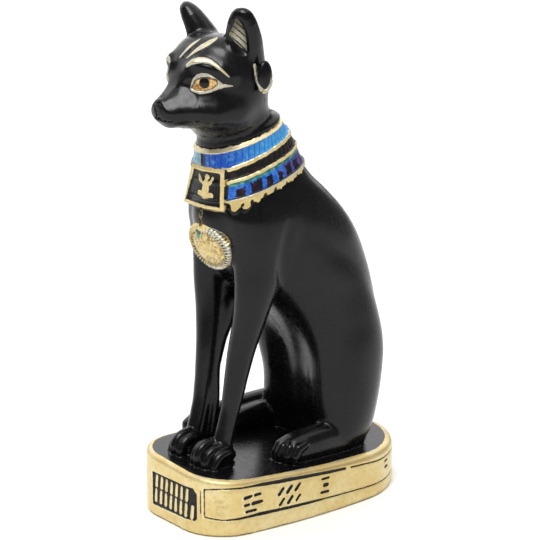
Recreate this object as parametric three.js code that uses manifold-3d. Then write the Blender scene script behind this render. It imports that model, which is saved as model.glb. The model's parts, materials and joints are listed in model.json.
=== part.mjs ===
// Seated cat figure on an oval plinth, a small one-piece resin casting.
// Millimetres, +Z up. The cat faces -Y and its left side is +X. The origin is
// the centre of the underside, so the plinth stands on z = 0.
//
// Each limb is a loft: a closed surface whose cross-sections follow a short
// table of named sizes, read through a smooth interpolation. The lofts are
// joined into one solid, because the figure is cast in one piece.

import * as THREE from "three";
import { ParametricGeometry } from "three/addons/geometries/ParametricGeometry.js";
import { mergeVertices } from "three/addons/utils/BufferGeometryUtils.js";
import Module from "manifold-3d";

// ---------------------------------------------------------------- sizes

// Plinth: an oval block whose top leans a little, as cast
const PLINTH = {
  halfWidth: 19.35, // before the sides bulge
  bulge: 0.206, // share by which the middle is wider
  halfLength: 40.93,
  frontRadius: 12.2,
  rearRadius: 23.2,
  top: 16.15, // height at the middle
  leanBack: -2.11, // change of height from the middle to the rear end
  leanSide: -1.14, // change from the middle to the +X side
  edge: 1.3, // rounding of the upper edge
};
const PANEL = { left: -8.6, right: 12.3, low: 3.4, high: 13.7, depth: 0.6 };

// Horizontal sections: height, front y, back y, half width, squareness
const TRUNK = [
  [12, 8.5, 30.2, 11.8, 2.3],
  [17, 8.5, 30.4, 13.2, 2.3],
  [25, 8.3, 32, 14.2, 2.3],
  [35, 7.6, 33.8, 15.4, 2.3],
  [45, 5.4, 34.7, 15.9, 2.2],
  [55, -0.6, 33.9, 16, 2.2],
  [64, -9.5, 32.6, 15.8, 2.2],
  [72, -19, 30.4, 15.8, 2.2],
  [81, -25.8, 26.5, 16, 2.15],
  [88, -28.2, 21.3, 15.8, 2.15],
  [95, -27.3, 13.6, 14.7, 2.4],
  [100, -26.8, 7.9, 13.4, 2.45],
  [105, -27, 4.4, 12.1, 2.4],
  [110, -26.9, 2.2, 11.4, 2.2],
  [115, -27, -1.2, 10.7, 2.1],
  [118, -27.3, -4.2, 10.2, 2.1],
  [122, -27, -7.6, 9.5, 2.1],
  [126, -27, -10, 8.8, 2.1],
];
// Height, centre x, centre y, half width, half depth
const FORELEG = [
  [16, 6.5, -26.7, 3, 3.5],
  [22, 6.6, -26.4, 2.8, 3.3],
  [28, 6.7, -24.8, 2.7, 3],
  [35, 6.9, -22.9, 2.8, 3.2],
  [49, 7.6, -20.1, 3.7, 4.2],
  [60, 9, -17.7, 4.5, 5.4],
  [69, 9.9, -15.9, 5, 7.2],
  [77, 9.8, -13.9, 5.5, 9.5],
  [85, 9.8, -12.6, 6.2, 11.6],
  [92, 9.2, -12.6, 6, 12.2],
  [98, 7.4, -11.6, 4.4, 9],
];
const HAUNCH = [
  [15, 11.6, 15.4, 3.4, 7.8],
  [19, 12, 15.8, 6.2, 9.6],
  [27, 11.8, 16.6, 8, 11],
  [37, 11.2, 17.5, 8.6, 12.1],
  [46, 10.8, 17.5, 8.4, 12.9],
  [55, 10, 15.2, 7.6, 13.4],
  [64, 9, 10.6, 7.2, 13.4],
  [72, 8.6, 5, 7, 12.4],
  [80, 8.3, -0.5, 5.6, 8.6],
  [88, 7.6, -3, 3.4, 4.4],
];
// The right thigh swells further forward
const HAUNCH_RIGHT = [
  [15, 11.6, 15.4, 3.4, 7.8],
  [19, 12, 15.8, 6.2, 9.6],
  [27, 11.8, 16.6, 8, 11],
  [37, 11.2, 17.2, 8.6, 12.4],
  [46, 10.8, 16.4, 8.4, 14],
  [55, 10, 13.9, 7.6, 14.7],
  [64, 9, 9.5, 7.2, 14.5],
  [72, 8.6, 4.6, 7, 12.8],
  [80, 8.3, -0.5, 5.6, 8.6],
  [88, 7.6, -3, 3.4, 4.4],
];
// Sections across y: y, centre x, centre z, half width, half height
const FOREPAW = [
  [-35.6, 6.9, 19.2, 1.6, 1.4],
  [-34.8, 6.9, 19.6, 4, 3],
  [-32.6, 6.9, 20.2, 4.9, 4.3],
  [-29, 6.9, 20.6, 4.8, 4.7],
  [-25.5, 6.9, 20.2, 3.9, 4.4],
  [-23, 6.9, 19.4, 2.4, 3.2],
];
const HINDFOOT = [
  [-10.2, 13.2, 17.6, 1.5, 1.2],
  [-9.3, 13.4, 18.4, 3.4, 3],
  [-6.5, 14, 18.9, 4.3, 4.5],
  [-1, 14.3, 19.2, 4.3, 5],
  [6, 14.2, 19.2, 4.2, 5.2],
  [14, 13.6, 18.2, 4, 4.6],
  [22, 12.2, 16.6, 3.4, 3.6],
];
const TOE = { radius: 1.3, length: 4.0, count: 4, spread: 2.2 };
const TOES = [
  // centre x, front y, foot z, recession of the outer toes
  [6.9, -34.4, 16.9, 0.35],
  [13.9, -9.4, 15.3, 0.45],
];

// Tail: lies on the plinth along the cat's right side. x, y, z, radius
const TAIL = [
  [-5, 35, 20, 4.4],
  [-12, 31, 21, 4.4],
  [-16.6, 24, 21.8, 4.3],
  [-18.4, 13, 22.2, 4.2],
  [-18.7, 2, 22.2, 4],
  [-18.4, -9, 22, 3.7],
  [-17.4, -17, 21.8, 3.3],
  [-16.2, -21, 21.4, 2.8],
];

// Head, sections across y: y, centre z, half width, height above the centre,
// depth below it
const HEAD = [
  [-43.2, 122.4, 0.8, 0.8, 1],
  [-42.7, 122.3, 2.8, 2.2, 2.5],
  [-41.5, 122.2, 4.3, 3.4, 3.7],
  [-39.6, 122.1, 5.3, 4.8, 4.8],
  [-37.3, 122.8, 6, 6.7, 5.8],
  [-34.8, 124.4, 7.4, 10.4, 7.9],
  [-32, 126, 9.8, 13.4, 9.8],
  [-28, 127.5, 12.6, 14.3, 11.9],
  [-24, 128.3, 14, 14, 12.6],
  [-20, 128.6, 14.3, 13.4, 12],
  [-16, 128.6, 13, 12, 10.4],
  [-12.4, 128.2, 10.2, 9.4, 8.4],
  [-9.6, 127.8, 6.6, 6, 5.4],
  [-8, 127.6, 2.6, 2.4, 2.2],
];
const HEAD_SQUARE = { above: 2.7, below: 2.3 };
// Brow ridge and cheek: x, y, z, radius
const BROW = [
  [3.8, -33.9, 133.7, 1.6],
  [5.8, -33.0, 134.9, 2.1],
  [8.0, -31.3, 135.0, 2.4],
  [10.2, -29.2, 133.9, 2.3],
  [11.9, -26.8, 131.8, 1.9],
];
const CHEEK = [
  [4.4, -36.6, 121.8, 2.5],
  [6.6, -34.0, 121.8, 3.0],
  [8.8, -29.5, 121.4, 4.0],
  [9.6, -24, 121.6, 4.2],
];
const EYE = { centre: [7.75, -31.7, 130], half: [5, 1.9, 2.75], turn: 0.72 };
const EAR = {
  foot: [7.9, -17.6, 134],
  tip: [13.5, -23.8, 150.1],
  turn: 0.7, // turn of the wide axis from +X towards +Y, radians
};
// Along the ear from foot to tip: half width and half thickness
const EAR_SIZE = [
  [0, 5.6, 4.6],
  [0.4, 5.25, 4.3],
  [0.5, 5, 4],
  [0.62, 4.55, 3.6],
  [0.77, 3.9, 3],
  [0.875, 3.15, 2.3],
  [0.93, 2.6, 1.75],
  [0.975, 1.8, 1.1],
  [1, 0.5, 0.35],
];
const LOBE = { centre: [15.5, -17.2, 131], half: [1.4, 2.4, 4.6] };
const HOOP = [
  [13.8, -19.6, 134.3, 0.5],
  [14.9, -19.2, 129.6, 0.6],
  [16.0, -17.9, 127.0, 0.75],
  [16.5, -16.1, 128.7, 0.6],
  [16.5, -15.2, 132.6, 0.45],
];
// Web of resin left along the back of the right foreleg
const WEB = [
  [-5.4, -22, 22, 1.5],
  [-5.6, -20.4, 32, 2],
  [-6.3, -20, 43, 2.3],
  [-7, -17.4, 51, 2.8],
  [-7.4, -14.8, 57, 3.4],
  [-7.6, -13.6, 62, 3.8],
];

// Collar: a leaning band round the neck, and the plate and pendant on it
const COLLAR = {
  frontLow: 93.0, backLow: 104.2, frontHigh: 109.8, backHigh: 118.0, proud: 0.6, shift: 0,
};
const PLATE = { middleLow: -1.35, middleHigh: 0.9, halfLow: 9.15, halfHigh: 6.9, low: 93, high: 104.4, y: -27.1, thick: 5 };
const PENDANT = { centre: [-0.2, -25.5, 81.0], halfWidth: 9.4, halfHeight: 7.3, deep: 6.6, dome: 1.7, rim: 1.2, lean: 0.35 };

// ---------------------------------------------------------------- helpers
const wasm = await Module();
wasm.setup();

// Smooth reading of a table whose first column is the position along it
function read(table, t) {
  let i = 0;
  while (i < table.length - 2 && t > table[i + 1][0]) i++;
  const p = table[i], q = table[i + 1];
  const h = q[0] - p[0];
  const s = Math.min(1, Math.max(0, (t - p[0]) / h));
  const slope = (j, k) => {
    const a = table[Math.max(0, j - 1)], b = table[Math.min(table.length - 1, j + 1)];
    return (b[k] - a[k]) / (b[0] - a[0]);
  };
  const s2 = s * s, s3 = s2 * s;
  return p.map((_, k) =>
    k === 0
      ? t
      : (2 * s3 - 3 * s2 + 1) * p[k] +
        (s3 - 2 * s2 + s) * h * slope(i, k) +
        (-2 * s3 + 3 * s2) * q[k] +
        (s3 - s2) * h * slope(i + 1, k),
  );
}

const power = (c, e) => Math.sign(c) * Math.abs(c) ** e;

// A closed three.js geometry as a solid, its shared vertices merged
function solid(geometry) {
  const bare = geometry.index ? geometry.clone() : geometry;
  for (const name of Object.keys(bare.attributes)) if (name !== "position") bare.deleteAttribute(name);
  const merged = mergeVertices(bare, 1e-4);
  const from = merged.index.array, kept = [];
  for (let i = 0; i < from.length; i += 3) {
    const [a, b, c] = [from[i], from[i + 1], from[i + 2]];
    if (a !== b && b !== c && c !== a) kept.push(a, b, c);
  }
  const make = (tri) =>
    new wasm.Manifold(
      new wasm.Mesh({ numProp: 3, vertProperties: merged.attributes.position.array, triVerts: new Uint32Array(tri) }),
    );
  const made = make(kept);
  if (made.volume() > 0) return made;
  for (let i = 0; i < kept.length; i += 3) [kept[i + 1], kept[i + 2]] = [kept[i + 2], kept[i + 1]];
  return make(kept);
}

// Loft of flat sections. place(t, c, s) gives the surface point at position t
// and angle (c, s); the two ends close onto their middles.
function loft(from, to, stacks, slices, place) {
  return solid(
    new ParametricGeometry(
      (u, v, out) => {
        const a = (u === 1 ? 0 : u) * Math.PI * 2;
        const row = Math.round(v * (stacks + 2)) - 1;
        const t = THREE.MathUtils.clamp(from + ((to - from) * row) / stacks, Math.min(from, to), Math.max(from, to));
        const open = row < 0 || row > stacks ? 0 : 1;
        place(t, Math.cos(a), Math.sin(a), open, out);
      },
      slices,
      stacks + 2,
    ),
  );
}

const levels = (table, side, stacks, slices) =>
  loft(table[0][0], table[table.length - 1][0], stacks, slices, (z, c, s, open, out) => {
    const [, x, y, a, b] = read(table, z);
    out.set(side * (x + open * a * c), y + open * b * s, z);
  });

const across = (table, side, stacks, slices) =>
  loft(table[0][0], table[table.length - 1][0], stacks, slices, (y, c, s, open, out) => {
    const [, x, z, a, b] = read(table, y);
    out.set(side * (x + open * a * c), y, z + open * b * s);
  });

// Tube of changing radius with round ends along a smooth curve
function tube(points, side, stacks, slices) {
  const curve = new THREE.CatmullRomCurve3(points.map(([x, y, z]) => new THREE.Vector3(side * x, y, z)));
  const frames = curve.computeFrenetFrames(stacks, false);
  const radius = (v) => {
    const f = v * (points.length - 1), i = Math.min(points.length - 2, Math.floor(f));
    return THREE.MathUtils.lerp(points[i][3], points[i + 1][3], f - i);
  };
  const caps = 2;
  return solid(
    new ParametricGeometry(
      (u, v, out) => {
        const a = (u === 1 ? 0 : u) * Math.PI * 2;
        const row = Math.round(v * (stacks + 2 * caps)) - caps;
        const i = THREE.MathUtils.clamp(row, 0, stacks);
        const past = row < 0 ? -row / caps : row > stacks ? (row - stacks) / caps : 0;
        const r = radius(i / stacks);
        const shrink = past === 1 ? 0 : Math.cos((past * Math.PI) / 2);
        const ahead = Math.sin((past * Math.PI) / 2) * Math.sign(row);
        out
          .copy(curve.getPoint(i / stacks))
          .addScaledVector(frames.tangents[i], ahead * r)
          .addScaledVector(frames.normals[i], shrink * r * Math.cos(a))
          .addScaledVector(frames.binormals[i], shrink * r * Math.sin(a));
      },
      slices,
      stacks + 2 * caps,
    ),
  );
}

const ball = (x, y, z, a, b, c, wide = 20, high = 14) =>
  solid(new THREE.SphereGeometry(1, wide, high).rotateX(Math.PI / 2).scale(a, b, c).translate(x, y, z));

// ---------------------------------------------------------------- plinth
const topAt = (x, y) =>
  PLINTH.top + (PLINTH.leanBack * y) / PLINTH.halfLength + (PLINTH.leanSide * x) / PLINTH.halfWidth;

function outline(inset, steps = 9) {
  const w = PLINTH.halfWidth - inset, l = PLINTH.halfLength - inset;
  const points = [];
  const corner = (cx, cy, rx, ry, start) => {
    for (let i = 0; i <= steps; i++) {
      const a = start + (i / steps) * (Math.PI / 2);
      points.push([cx + rx * Math.cos(a), cy + ry * Math.sin(a)]);
    }
  };
  const side = (x, y0, y1, n) => {
    for (let i = 1; i < n; i++) points.push([x, y0 + ((y1 - y0) * i) / n]);
  };
  const rr = PLINTH.rearRadius, rf = PLINTH.frontRadius, rx = Math.min(rr, w), fx = Math.min(rf, w);
  corner(w - rx, l - rr, rx, rr, 0);
  corner(-w + rx, l - rr, rx, rr, Math.PI / 2);
  side(-w, l - rr, -l + rf, 8);
  corner(-w + fx, -l + rf, fx, rf, Math.PI);
  corner(w - fx, -l + rf, fx, rf, 1.5 * Math.PI);
  side(w, -l + rf, l - rr, 8);
  const kept = points
    .map(([x, y]) => [x * (1 + PLINTH.bulge * (1 - (y / PLINTH.halfLength) ** 2)), y])
    .filter(([x, y], i, all) => i === 0 || Math.hypot(x - all[i - 1][0], y - all[i - 1][1]) > 1e-3);
  const [a, b] = [kept[0], kept[kept.length - 1]];
  if (Math.hypot(a[0] - b[0], a[1] - b[1]) < 1e-3) kept.pop();
  return kept;
}

function plinth() {
  // the block stops short of the top by its rounded edge, which the bevel adds
  const shape = new THREE.Shape(outline(PLINTH.edge).map(([x, y]) => new THREE.Vector2(x, y)));
  const g = new THREE.ExtrudeGeometry(shape, {
    depth: PLINTH.top,
    steps: 1,
    bevelEnabled: true,
    bevelSize: PLINTH.edge,
    bevelThickness: PLINTH.edge,
    bevelSegments: 3,
  });
  const p = g.attributes.position;
  for (let i = 0; i < p.count; i++) {
    const x = p.getX(i), y = p.getY(i), z = p.getZ(i);
    // below 0 is the lower bevel, folded flat; above, the top follows the lean
    const f = Math.min(1, Math.max(0, z / PLINTH.top));
    const lean = topAt(x, y) - PLINTH.top;
    p.setZ(i, z < 0 ? 0.35 * z : z - PLINTH.edge * f + lean * f);
  }
  g.translate(0, 0, 0.35 * PLINTH.edge);
  return solid(g);
}

// ---------------------------------------------------------------- cat
const both = (make) => [make(1), make(-1)];
const parts = [plinth()];

parts.push(
  loft(TRUNK[0][0], TRUNK[TRUNK.length - 1][0], 20, 24, (z, c, s, open, out) => {
    const [, front, back, a, n] = read(TRUNK, z);
    const e = 2 / n;
    out.set(open * a * power(c, e), (front + back) / 2 + ((open * (back - front)) / 2) * power(s, e), z);
  }),
);
parts.push(...both((side) => levels(FORELEG, side, 12, 13)));
parts.push(levels(HAUNCH, 1, 9, 16), levels(HAUNCH_RIGHT, -1, 9, 16));
parts.push(...both((side) => across(FOREPAW, side, 6, 10)));
parts.push(...both((side) => across(HINDFOOT, side, 7, 10)));
parts.push(tube(TAIL, 1, 15, 9));

// toes: short rounded ridges side by side over the front of each paw
function toes(cx, front, foot, recede, side) {
  const made = [];
  for (let i = 0; i < TOE.count; i++) {
    const k = i - (TOE.count - 1) / 2;
    const x = cx + k * TOE.spread, y = front + 0.35 * k * k + recede * (k + 1.5);
    made.push(
      tube(
        [
          [x, y + 0.4, foot + 1.4, TOE.radius],
          [x, y + 0.1, foot + 3.4, TOE.radius],
          [x, y + 2.2, foot + 6.2, TOE.radius],
          [x, y + 2.2 + TOE.length, foot + 7.4, TOE.radius * 0.7],
        ],
        side, 3, 5,
      ),
    );
  }
  return made;
}
for (const [cx, front, foot, recede] of TOES)
  for (const side of [1, -1]) parts.push(...toes(cx, front, foot, recede, side));

// head
parts.push(
  loft(HEAD[0][0], HEAD[HEAD.length - 1][0], 16, 18, (y, c, s, open, out) => {
    const [, z, a, up, down] = read(HEAD, y);
    const e = 2 / (s > 0 ? HEAD_SQUARE.above : HEAD_SQUARE.below);
    out.set(open * a * power(c, e), y, z + open * (s > 0 ? up : down) * power(s, e));
  }),
);
// brow ridges, cheeks and almond eyes, turned to lie along the side of the face
const almond = ({ centre: [x, y, z], half, turn }, side) =>
  solid(
    new THREE.SphereGeometry(1, 10, 6).rotateX(Math.PI / 2).scale(...half).rotateZ(side * turn).translate(side * x, y, z),
  );
parts.push(...both((side) => tube(BROW, side, 5, 7)), ...both((side) => tube(CHEEK, side, 4, 7)));
parts.push(...both((side) => almond(EYE, side)));

function ear(side) {
  const foot = new THREE.Vector3(...EAR.foot), tip = new THREE.Vector3(...EAR.tip);
  const wide = new THREE.Vector3(Math.cos(EAR.turn), Math.sin(EAR.turn), 0);
  const deep = new THREE.Vector3(wide.y, -wide.x, 0);
  const shell = (grow, low, high, slide) =>
    loft(low, high, 7, 12, (t, c, s, open, out) => {
      const [, width, thick] = read(EAR_SIZE, t);
      out
        .lerpVectors(foot, tip, t)
        .addScaledVector(wide, open * grow * width * c)
        .addScaledVector(deep, open * grow * thick * s + slide)
        .multiply(new THREE.Vector3(side, 1, 1));
    });
  return shell(1, 0, 1, 0).subtract(shell(0.56, 0.26, 0.84, 2.7));
}
parts.push(...both(ear));

function earring(side) {
  const [x, y, z] = LOBE.centre;
  return tube(HOOP, side, 8, 5).add(ball(side * x, y, z, ...LOBE.half, 10, 8));
}
parts.push(...both(earring));
parts.push(tube(WEB, 1, 4, 7));

// collar: the trunk's own section pushed out, between two leaning rims
function collar() {
  // ends of the band close inside the neck
  const rows = 3, slices = 32;
  return solid(
    new ParametricGeometry(
      (u, v, out) => {
        const a = (u === 1 ? 0 : u) * Math.PI * 2, c = Math.cos(a), s = Math.sin(a);
        const row = Math.round(v * (rows + 2)) - 1;
        const k = THREE.MathUtils.clamp(row / rows, 0, 1);
        const back = (1 + s) / 2;
        const low = THREE.MathUtils.lerp(COLLAR.frontLow, COLLAR.backLow, back);
        const high = THREE.MathUtils.lerp(COLLAR.frontHigh, COLLAR.backHigh, back);
        const z = THREE.MathUtils.lerp(low, high, k);
        const [, front, rear, w] = read(TRUNK, z);
        if (row < 0 || row > rows) {
          const mid = row < 0 ? (COLLAR.frontLow + COLLAR.backLow) / 2 : (COLLAR.frontHigh + COLLAR.backHigh) / 2;
          out.set(0, -12, mid);
        } else
          out.set((w + COLLAR.proud) * c, (front + rear) / 2 + ((rear - front) / 2 + COLLAR.proud) * s + COLLAR.shift, z);
      },
      slices,
      rows + 2,
    ),
  );
}
parts.push(collar());

// plate on the chest: a flat four-sided tablet, wider below
function plate() {
  const shape = new THREE.Shape([
    new THREE.Vector2(PLATE.middleLow - PLATE.halfLow, PLATE.low),
    new THREE.Vector2(PLATE.middleLow + PLATE.halfLow, PLATE.low),
    new THREE.Vector2(PLATE.middleHigh + PLATE.halfHigh, PLATE.high),
    new THREE.Vector2(PLATE.middleHigh - PLATE.halfHigh, PLATE.high),
  ]);
  const g = new THREE.ExtrudeGeometry(shape, {
    depth: PLATE.thick, bevelEnabled: true, bevelSize: 0.3, bevelThickness: 0.3, bevelSegments: 1,
  });
  return solid(g.rotateX(Math.PI / 2).translate(0, PLATE.y + PLATE.thick, 0));
}
parts.push(plate());
// pendant: an oval block that leans with the chest, domed in front
const onPendant = (geometry, out) =>
  solid(
    geometry
      .translate(0, out, 0)
      .rotateX(Math.PI + PENDANT.lean)
      .translate(...PENDANT.centre),
  );
parts.push(
  onPendant(
    new THREE.CylinderGeometry(0.94, 1, PENDANT.deep, 20, 1).scale(PENDANT.halfWidth, 1, PENDANT.halfHeight),
    0.6 - PENDANT.deep / 2,
  ),
  onPendant(
    new THREE.SphereGeometry(1, 16, 6).scale(PENDANT.halfWidth - PENDANT.rim, 2.6, PENDANT.halfHeight - PENDANT.rim),
    PENDANT.dome - 2.6,
  ),
);

// ---------------------------------------------------------------- one casting
let body = parts[0];
for (const p of parts.slice(1)) body = body.add(p);

// sunk panel on the front of the plinth, at an even depth round its curve
const panelShape = new THREE.Shape([
  new THREE.Vector2(PANEL.left, PANEL.low),
  new THREE.Vector2(PANEL.right, PANEL.low),
  new THREE.Vector2(PANEL.right, PANEL.high),
  new THREE.Vector2(PANEL.left, PANEL.high),
]);
const before = new THREE.ExtrudeGeometry(panelShape, { depth: 12, bevelEnabled: false })
  .rotateX(Math.PI / 2)
  .translate(0, -PLINTH.halfLength + 8, 0);
const behind = new THREE.ExtrudeGeometry(
  new THREE.Shape(outline(PANEL.depth).map(([x, y]) => new THREE.Vector2(x, y))),
  { depth: 24, bevelEnabled: false },
).translate(0, 0, -2);
body = body.subtract(solid(before).subtract(solid(behind)));

function geometryOf(manifold) {
  const m = manifold.getMesh(), n = m.numProp;
  const position = new Float32Array(m.numVert * 3);
  for (let i = 0; i < m.numVert; i++) position.set(m.vertProperties.subarray(i * n, i * n + 3), i * 3);
  const g = new THREE.BufferGeometry();
  g.setAttribute("position", new THREE.BufferAttribute(position, 3));
  g.setIndex(new THREE.BufferAttribute(new Uint32Array(m.triVerts), 1));
  g.computeVertexNormals();
  return g;
}

const group = new THREE.Group();
const cat = new THREE.Mesh(
  geometryOf(body),
  new THREE.MeshStandardMaterial({ color: 0x17171a, roughness: 0.22, metalness: 0 }),
);
cat.name = "cat_figure";
group.add(cat);

export default group;
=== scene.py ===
"""Seated cat figure on an oval plinth: glossy black cast resin with hand-painted
gold, blue and pale details. The surface is one closed mesh, drawn from a
distance field that is built from named sizes, in millimetres, in the row frame:
+Z up, the cat faces -Y, its left side is +X."""

import math

import numpy as np

import bpy
from mathutils import Matrix, Vector
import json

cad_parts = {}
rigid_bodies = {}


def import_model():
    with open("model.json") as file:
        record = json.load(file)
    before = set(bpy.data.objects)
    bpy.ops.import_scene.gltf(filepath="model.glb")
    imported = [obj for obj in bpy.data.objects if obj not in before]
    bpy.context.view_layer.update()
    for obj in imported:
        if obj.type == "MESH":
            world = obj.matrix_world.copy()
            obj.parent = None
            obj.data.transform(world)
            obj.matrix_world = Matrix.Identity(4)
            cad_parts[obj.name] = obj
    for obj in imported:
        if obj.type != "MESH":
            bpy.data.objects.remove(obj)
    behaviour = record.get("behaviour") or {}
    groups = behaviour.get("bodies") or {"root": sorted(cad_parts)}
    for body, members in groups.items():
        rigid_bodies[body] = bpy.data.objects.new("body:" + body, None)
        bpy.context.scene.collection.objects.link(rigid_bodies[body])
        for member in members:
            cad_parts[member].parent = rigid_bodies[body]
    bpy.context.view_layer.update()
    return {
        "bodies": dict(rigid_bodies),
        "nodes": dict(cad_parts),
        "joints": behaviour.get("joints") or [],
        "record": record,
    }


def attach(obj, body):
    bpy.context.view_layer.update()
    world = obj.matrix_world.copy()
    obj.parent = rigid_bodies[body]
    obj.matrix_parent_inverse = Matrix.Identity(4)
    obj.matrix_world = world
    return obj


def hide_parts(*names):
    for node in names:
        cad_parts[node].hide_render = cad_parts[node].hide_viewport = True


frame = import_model()

# ======================================================================= shape
# --- shape begins
# Horizontal sections of the trunk: height, front y, back y, half width, squareness
TRUNK = [
    [12, 8.5, 30.2, 11.8, 2.3],
    [17, 8.5, 30.4, 13.2, 2.3],
    [25, 8.3, 32.0, 14.2, 2.3],
    [35, 7.6, 33.8, 15.4, 2.3],
    [45, 5.4, 34.7, 15.9, 2.2],
    [55, -0.6, 33.9, 16.0, 2.2],
    [64, -9.5, 32.6, 15.8, 2.2],
    [72, -19, 30.4, 15.8, 2.2],
    [81, -25.8, 26.5, 16.0, 2.15],
    [88, -28.2, 21.3, 15.8, 2.15],
    [95, -27.3, 13.6, 14.7, 2.4],
    [100, -26.8, 7.9, 13.4, 2.45],
    [105, -27.0, 4.4, 12.1, 2.4],
    [110, -26.9, 2.2, 11.4, 2.2],
    [115, -27.0, -1.0, 10.7, 2.1],
    [118, -27.3, -3.7, 10.2, 2.1],
    [122, -27.0, -7.6, 9.5, 2.1],
    [126, -27.0, -10.0, 8.8, 2.1],
]
FORELEG = [
    [16, 6.5, -26.7, 3.0, 3.5],
    [22, 6.6, -26.4, 2.8, 3.3],
    [28, 6.7, -24.8, 2.7, 3.0],
    [35, 6.9, -22.9, 2.8, 3.2],
    [49, 7.6, -20.1, 3.7, 4.2],
    [60, 9.0, -17.7, 4.5, 5.4],
    [69, 9.9, -15.9, 5.0, 7.2],
    [77, 9.8, -13.9, 5.5, 9.5],
    [85, 9.8, -12.6, 6.2, 11.6],
    [92, 9.2, -12.6, 6.0, 12.2],
    [98, 7.4, -11.6, 4.4, 9.0],
]
HAUNCH = [
    [15, 11.6, 15.4, 3.4, 7.8],
    [19, 12.0, 15.8, 6.2, 9.6],
    [27, 11.8, 16.6, 8.0, 11.0],
    [37, 11.2, 17.5, 8.6, 12.1],
    [46, 10.8, 17.5, 8.4, 12.9],
    [55, 10.0, 15.2, 7.6, 13.4],
    [64, 9.0, 10.6, 7.2, 13.4],
    [72, 8.6, 5.0, 7.0, 12.4],
    [80, 8.3, -0.5, 5.6, 8.6],
    [88, 7.6, -3.0, 3.4, 4.4],
]
# a web of resin left along the back of the right foreleg
WEB = [[-5.4, -22.0, 22, 1.5], [-5.6, -20.4, 32, 2.0], [-6.3, -20.0, 43, 2.3], [-7.0, -17.4, 51, 2.8], [-7.4, -14.8, 57, 3.4], [-7.6, -13.6, 62, 3.8]]
FOREPAW = [
    [-32.6, 6.6, 18.4, 1.2, 1.0],
    [-31.8, 6.5, 18.8, 3.5, 2.7],
    [-30.2, 6.5, 19.3, 4.2, 3.8],
    [-28.0, 6.6, 19.8, 4.1, 4.2],
    [-25.6, 6.8, 19.8, 3.2, 3.8],
    [-23.4, 6.8, 19.2, 1.6, 2.4],
]
HINDFOOT = [
    [-10.2, 13.2, 17.6, 1.5, 1.2],
    [-9.3, 13.4, 18.4, 3.4, 3.0],
    [-6.5, 14.0, 18.9, 4.3, 4.5],
    [-1, 14.3, 19.2, 4.3, 5.0],
    [6, 14.2, 19.2, 4.2, 5.2],
    [14, 13.6, 18.2, 4.0, 4.6],
    [22, 12.2, 16.6, 3.4, 3.6],
]
TAIL = [
    [-5, 35.0, 20, 4.4],
    [-12, 31.0, 21, 4.4],
    [-16.6, 24, 21.8, 4.3],
    [-18.4, 13, 22.2, 4.2],
    [-18.7, 2, 22.2, 4.0],
    [-18.4, -9, 22.0, 3.7],
    [-17.4, -17, 21.8, 3.3],
    [-16.2, -21, 21.4, 2.8],
]
HEAD = [
    [-43.2, 122.4, 0.8, 0.8, 1.0],
    [-42.7, 122.3, 2.8, 2.2, 2.5],
    [-41.5, 122.2, 4.3, 3.4, 3.7],
    [-39.6, 122.1, 5.3, 4.8, 4.8],
    [-37.3, 122.8, 6.0, 6.7, 5.8],
    [-34.8, 124.4, 7.4, 10.4, 7.9],
    [-32, 126.0, 9.8, 13.4, 9.8],
    [-28, 127.5, 12.6, 14.3, 11.9],
    [-24, 128.3, 14.0, 14.0, 12.6],
    [-20, 128.6, 14.3, 13.4, 12.0],
    [-16, 128.6, 13.0, 12.0, 10.4],
    [-12.4, 128.2, 10.2, 9.4, 8.4],
    [-9.6, 127.8, 6.6, 6.0, 5.4],
    [-8.0, 127.6, 2.6, 2.4, 2.2],
]
BROW = [[3.8, -33.9, 133.7, 1.6], [5.8, -33.0, 134.9, 2.1], [8.0, -31.3, 135.0, 2.4], [10.2, -29.2, 133.9, 2.3], [11.9, -26.8, 131.8, 1.9]]
CHEEK = [[4.4, -36.6, 121.8, 2.5], [6.6, -34.0, 121.8, 3.0], [8.8, -29.5, 121.4, 4.0], [9.6, -24, 121.6, 4.2]]
EYE = dict(at=(7.75, -31.7, 130.0), half=(5.0, 1.9, 2.75), turn=0.72)
EAR = dict(foot=(7.9, -17.6, 134.0), tip=(13.5, -23.8, 150.1), turn=0.7)
# Along the ear from foot to tip: half width and half thickness
EAR_SIZE = [[-0.2, 5.6, 4.6], [0, 5.6, 4.6], [0.4, 5.25, 4.3], [0.5, 5.0, 4.0], [0.62, 4.55, 3.6], [0.77, 3.9, 3.0], [0.875, 3.15, 2.3], [0.93, 2.6, 1.75], [0.975, 1.8, 1.1], [1.0, 0.5, 0.35]]
LOBE = dict(at=(15.5, -17.2, 131.0), half=(1.4, 2.4, 4.6))
HOOP = [[13.8, -19.6, 134.3, 0.42], [14.1, -19.3, 132.0, 0.45], [14.9, -19.2, 129.6, 0.5], [15.6, -18.6, 127.7, 0.62], [16.0, -17.9, 127.0, 0.66],
        [16.3, -17.0, 127.5, 0.6], [16.5, -16.1, 128.7, 0.52], [16.6, -15.6, 130.4, 0.45], [16.5, -15.2, 132.6, 0.36], [16.1, -15.2, 134.4, 0.25]]
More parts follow.
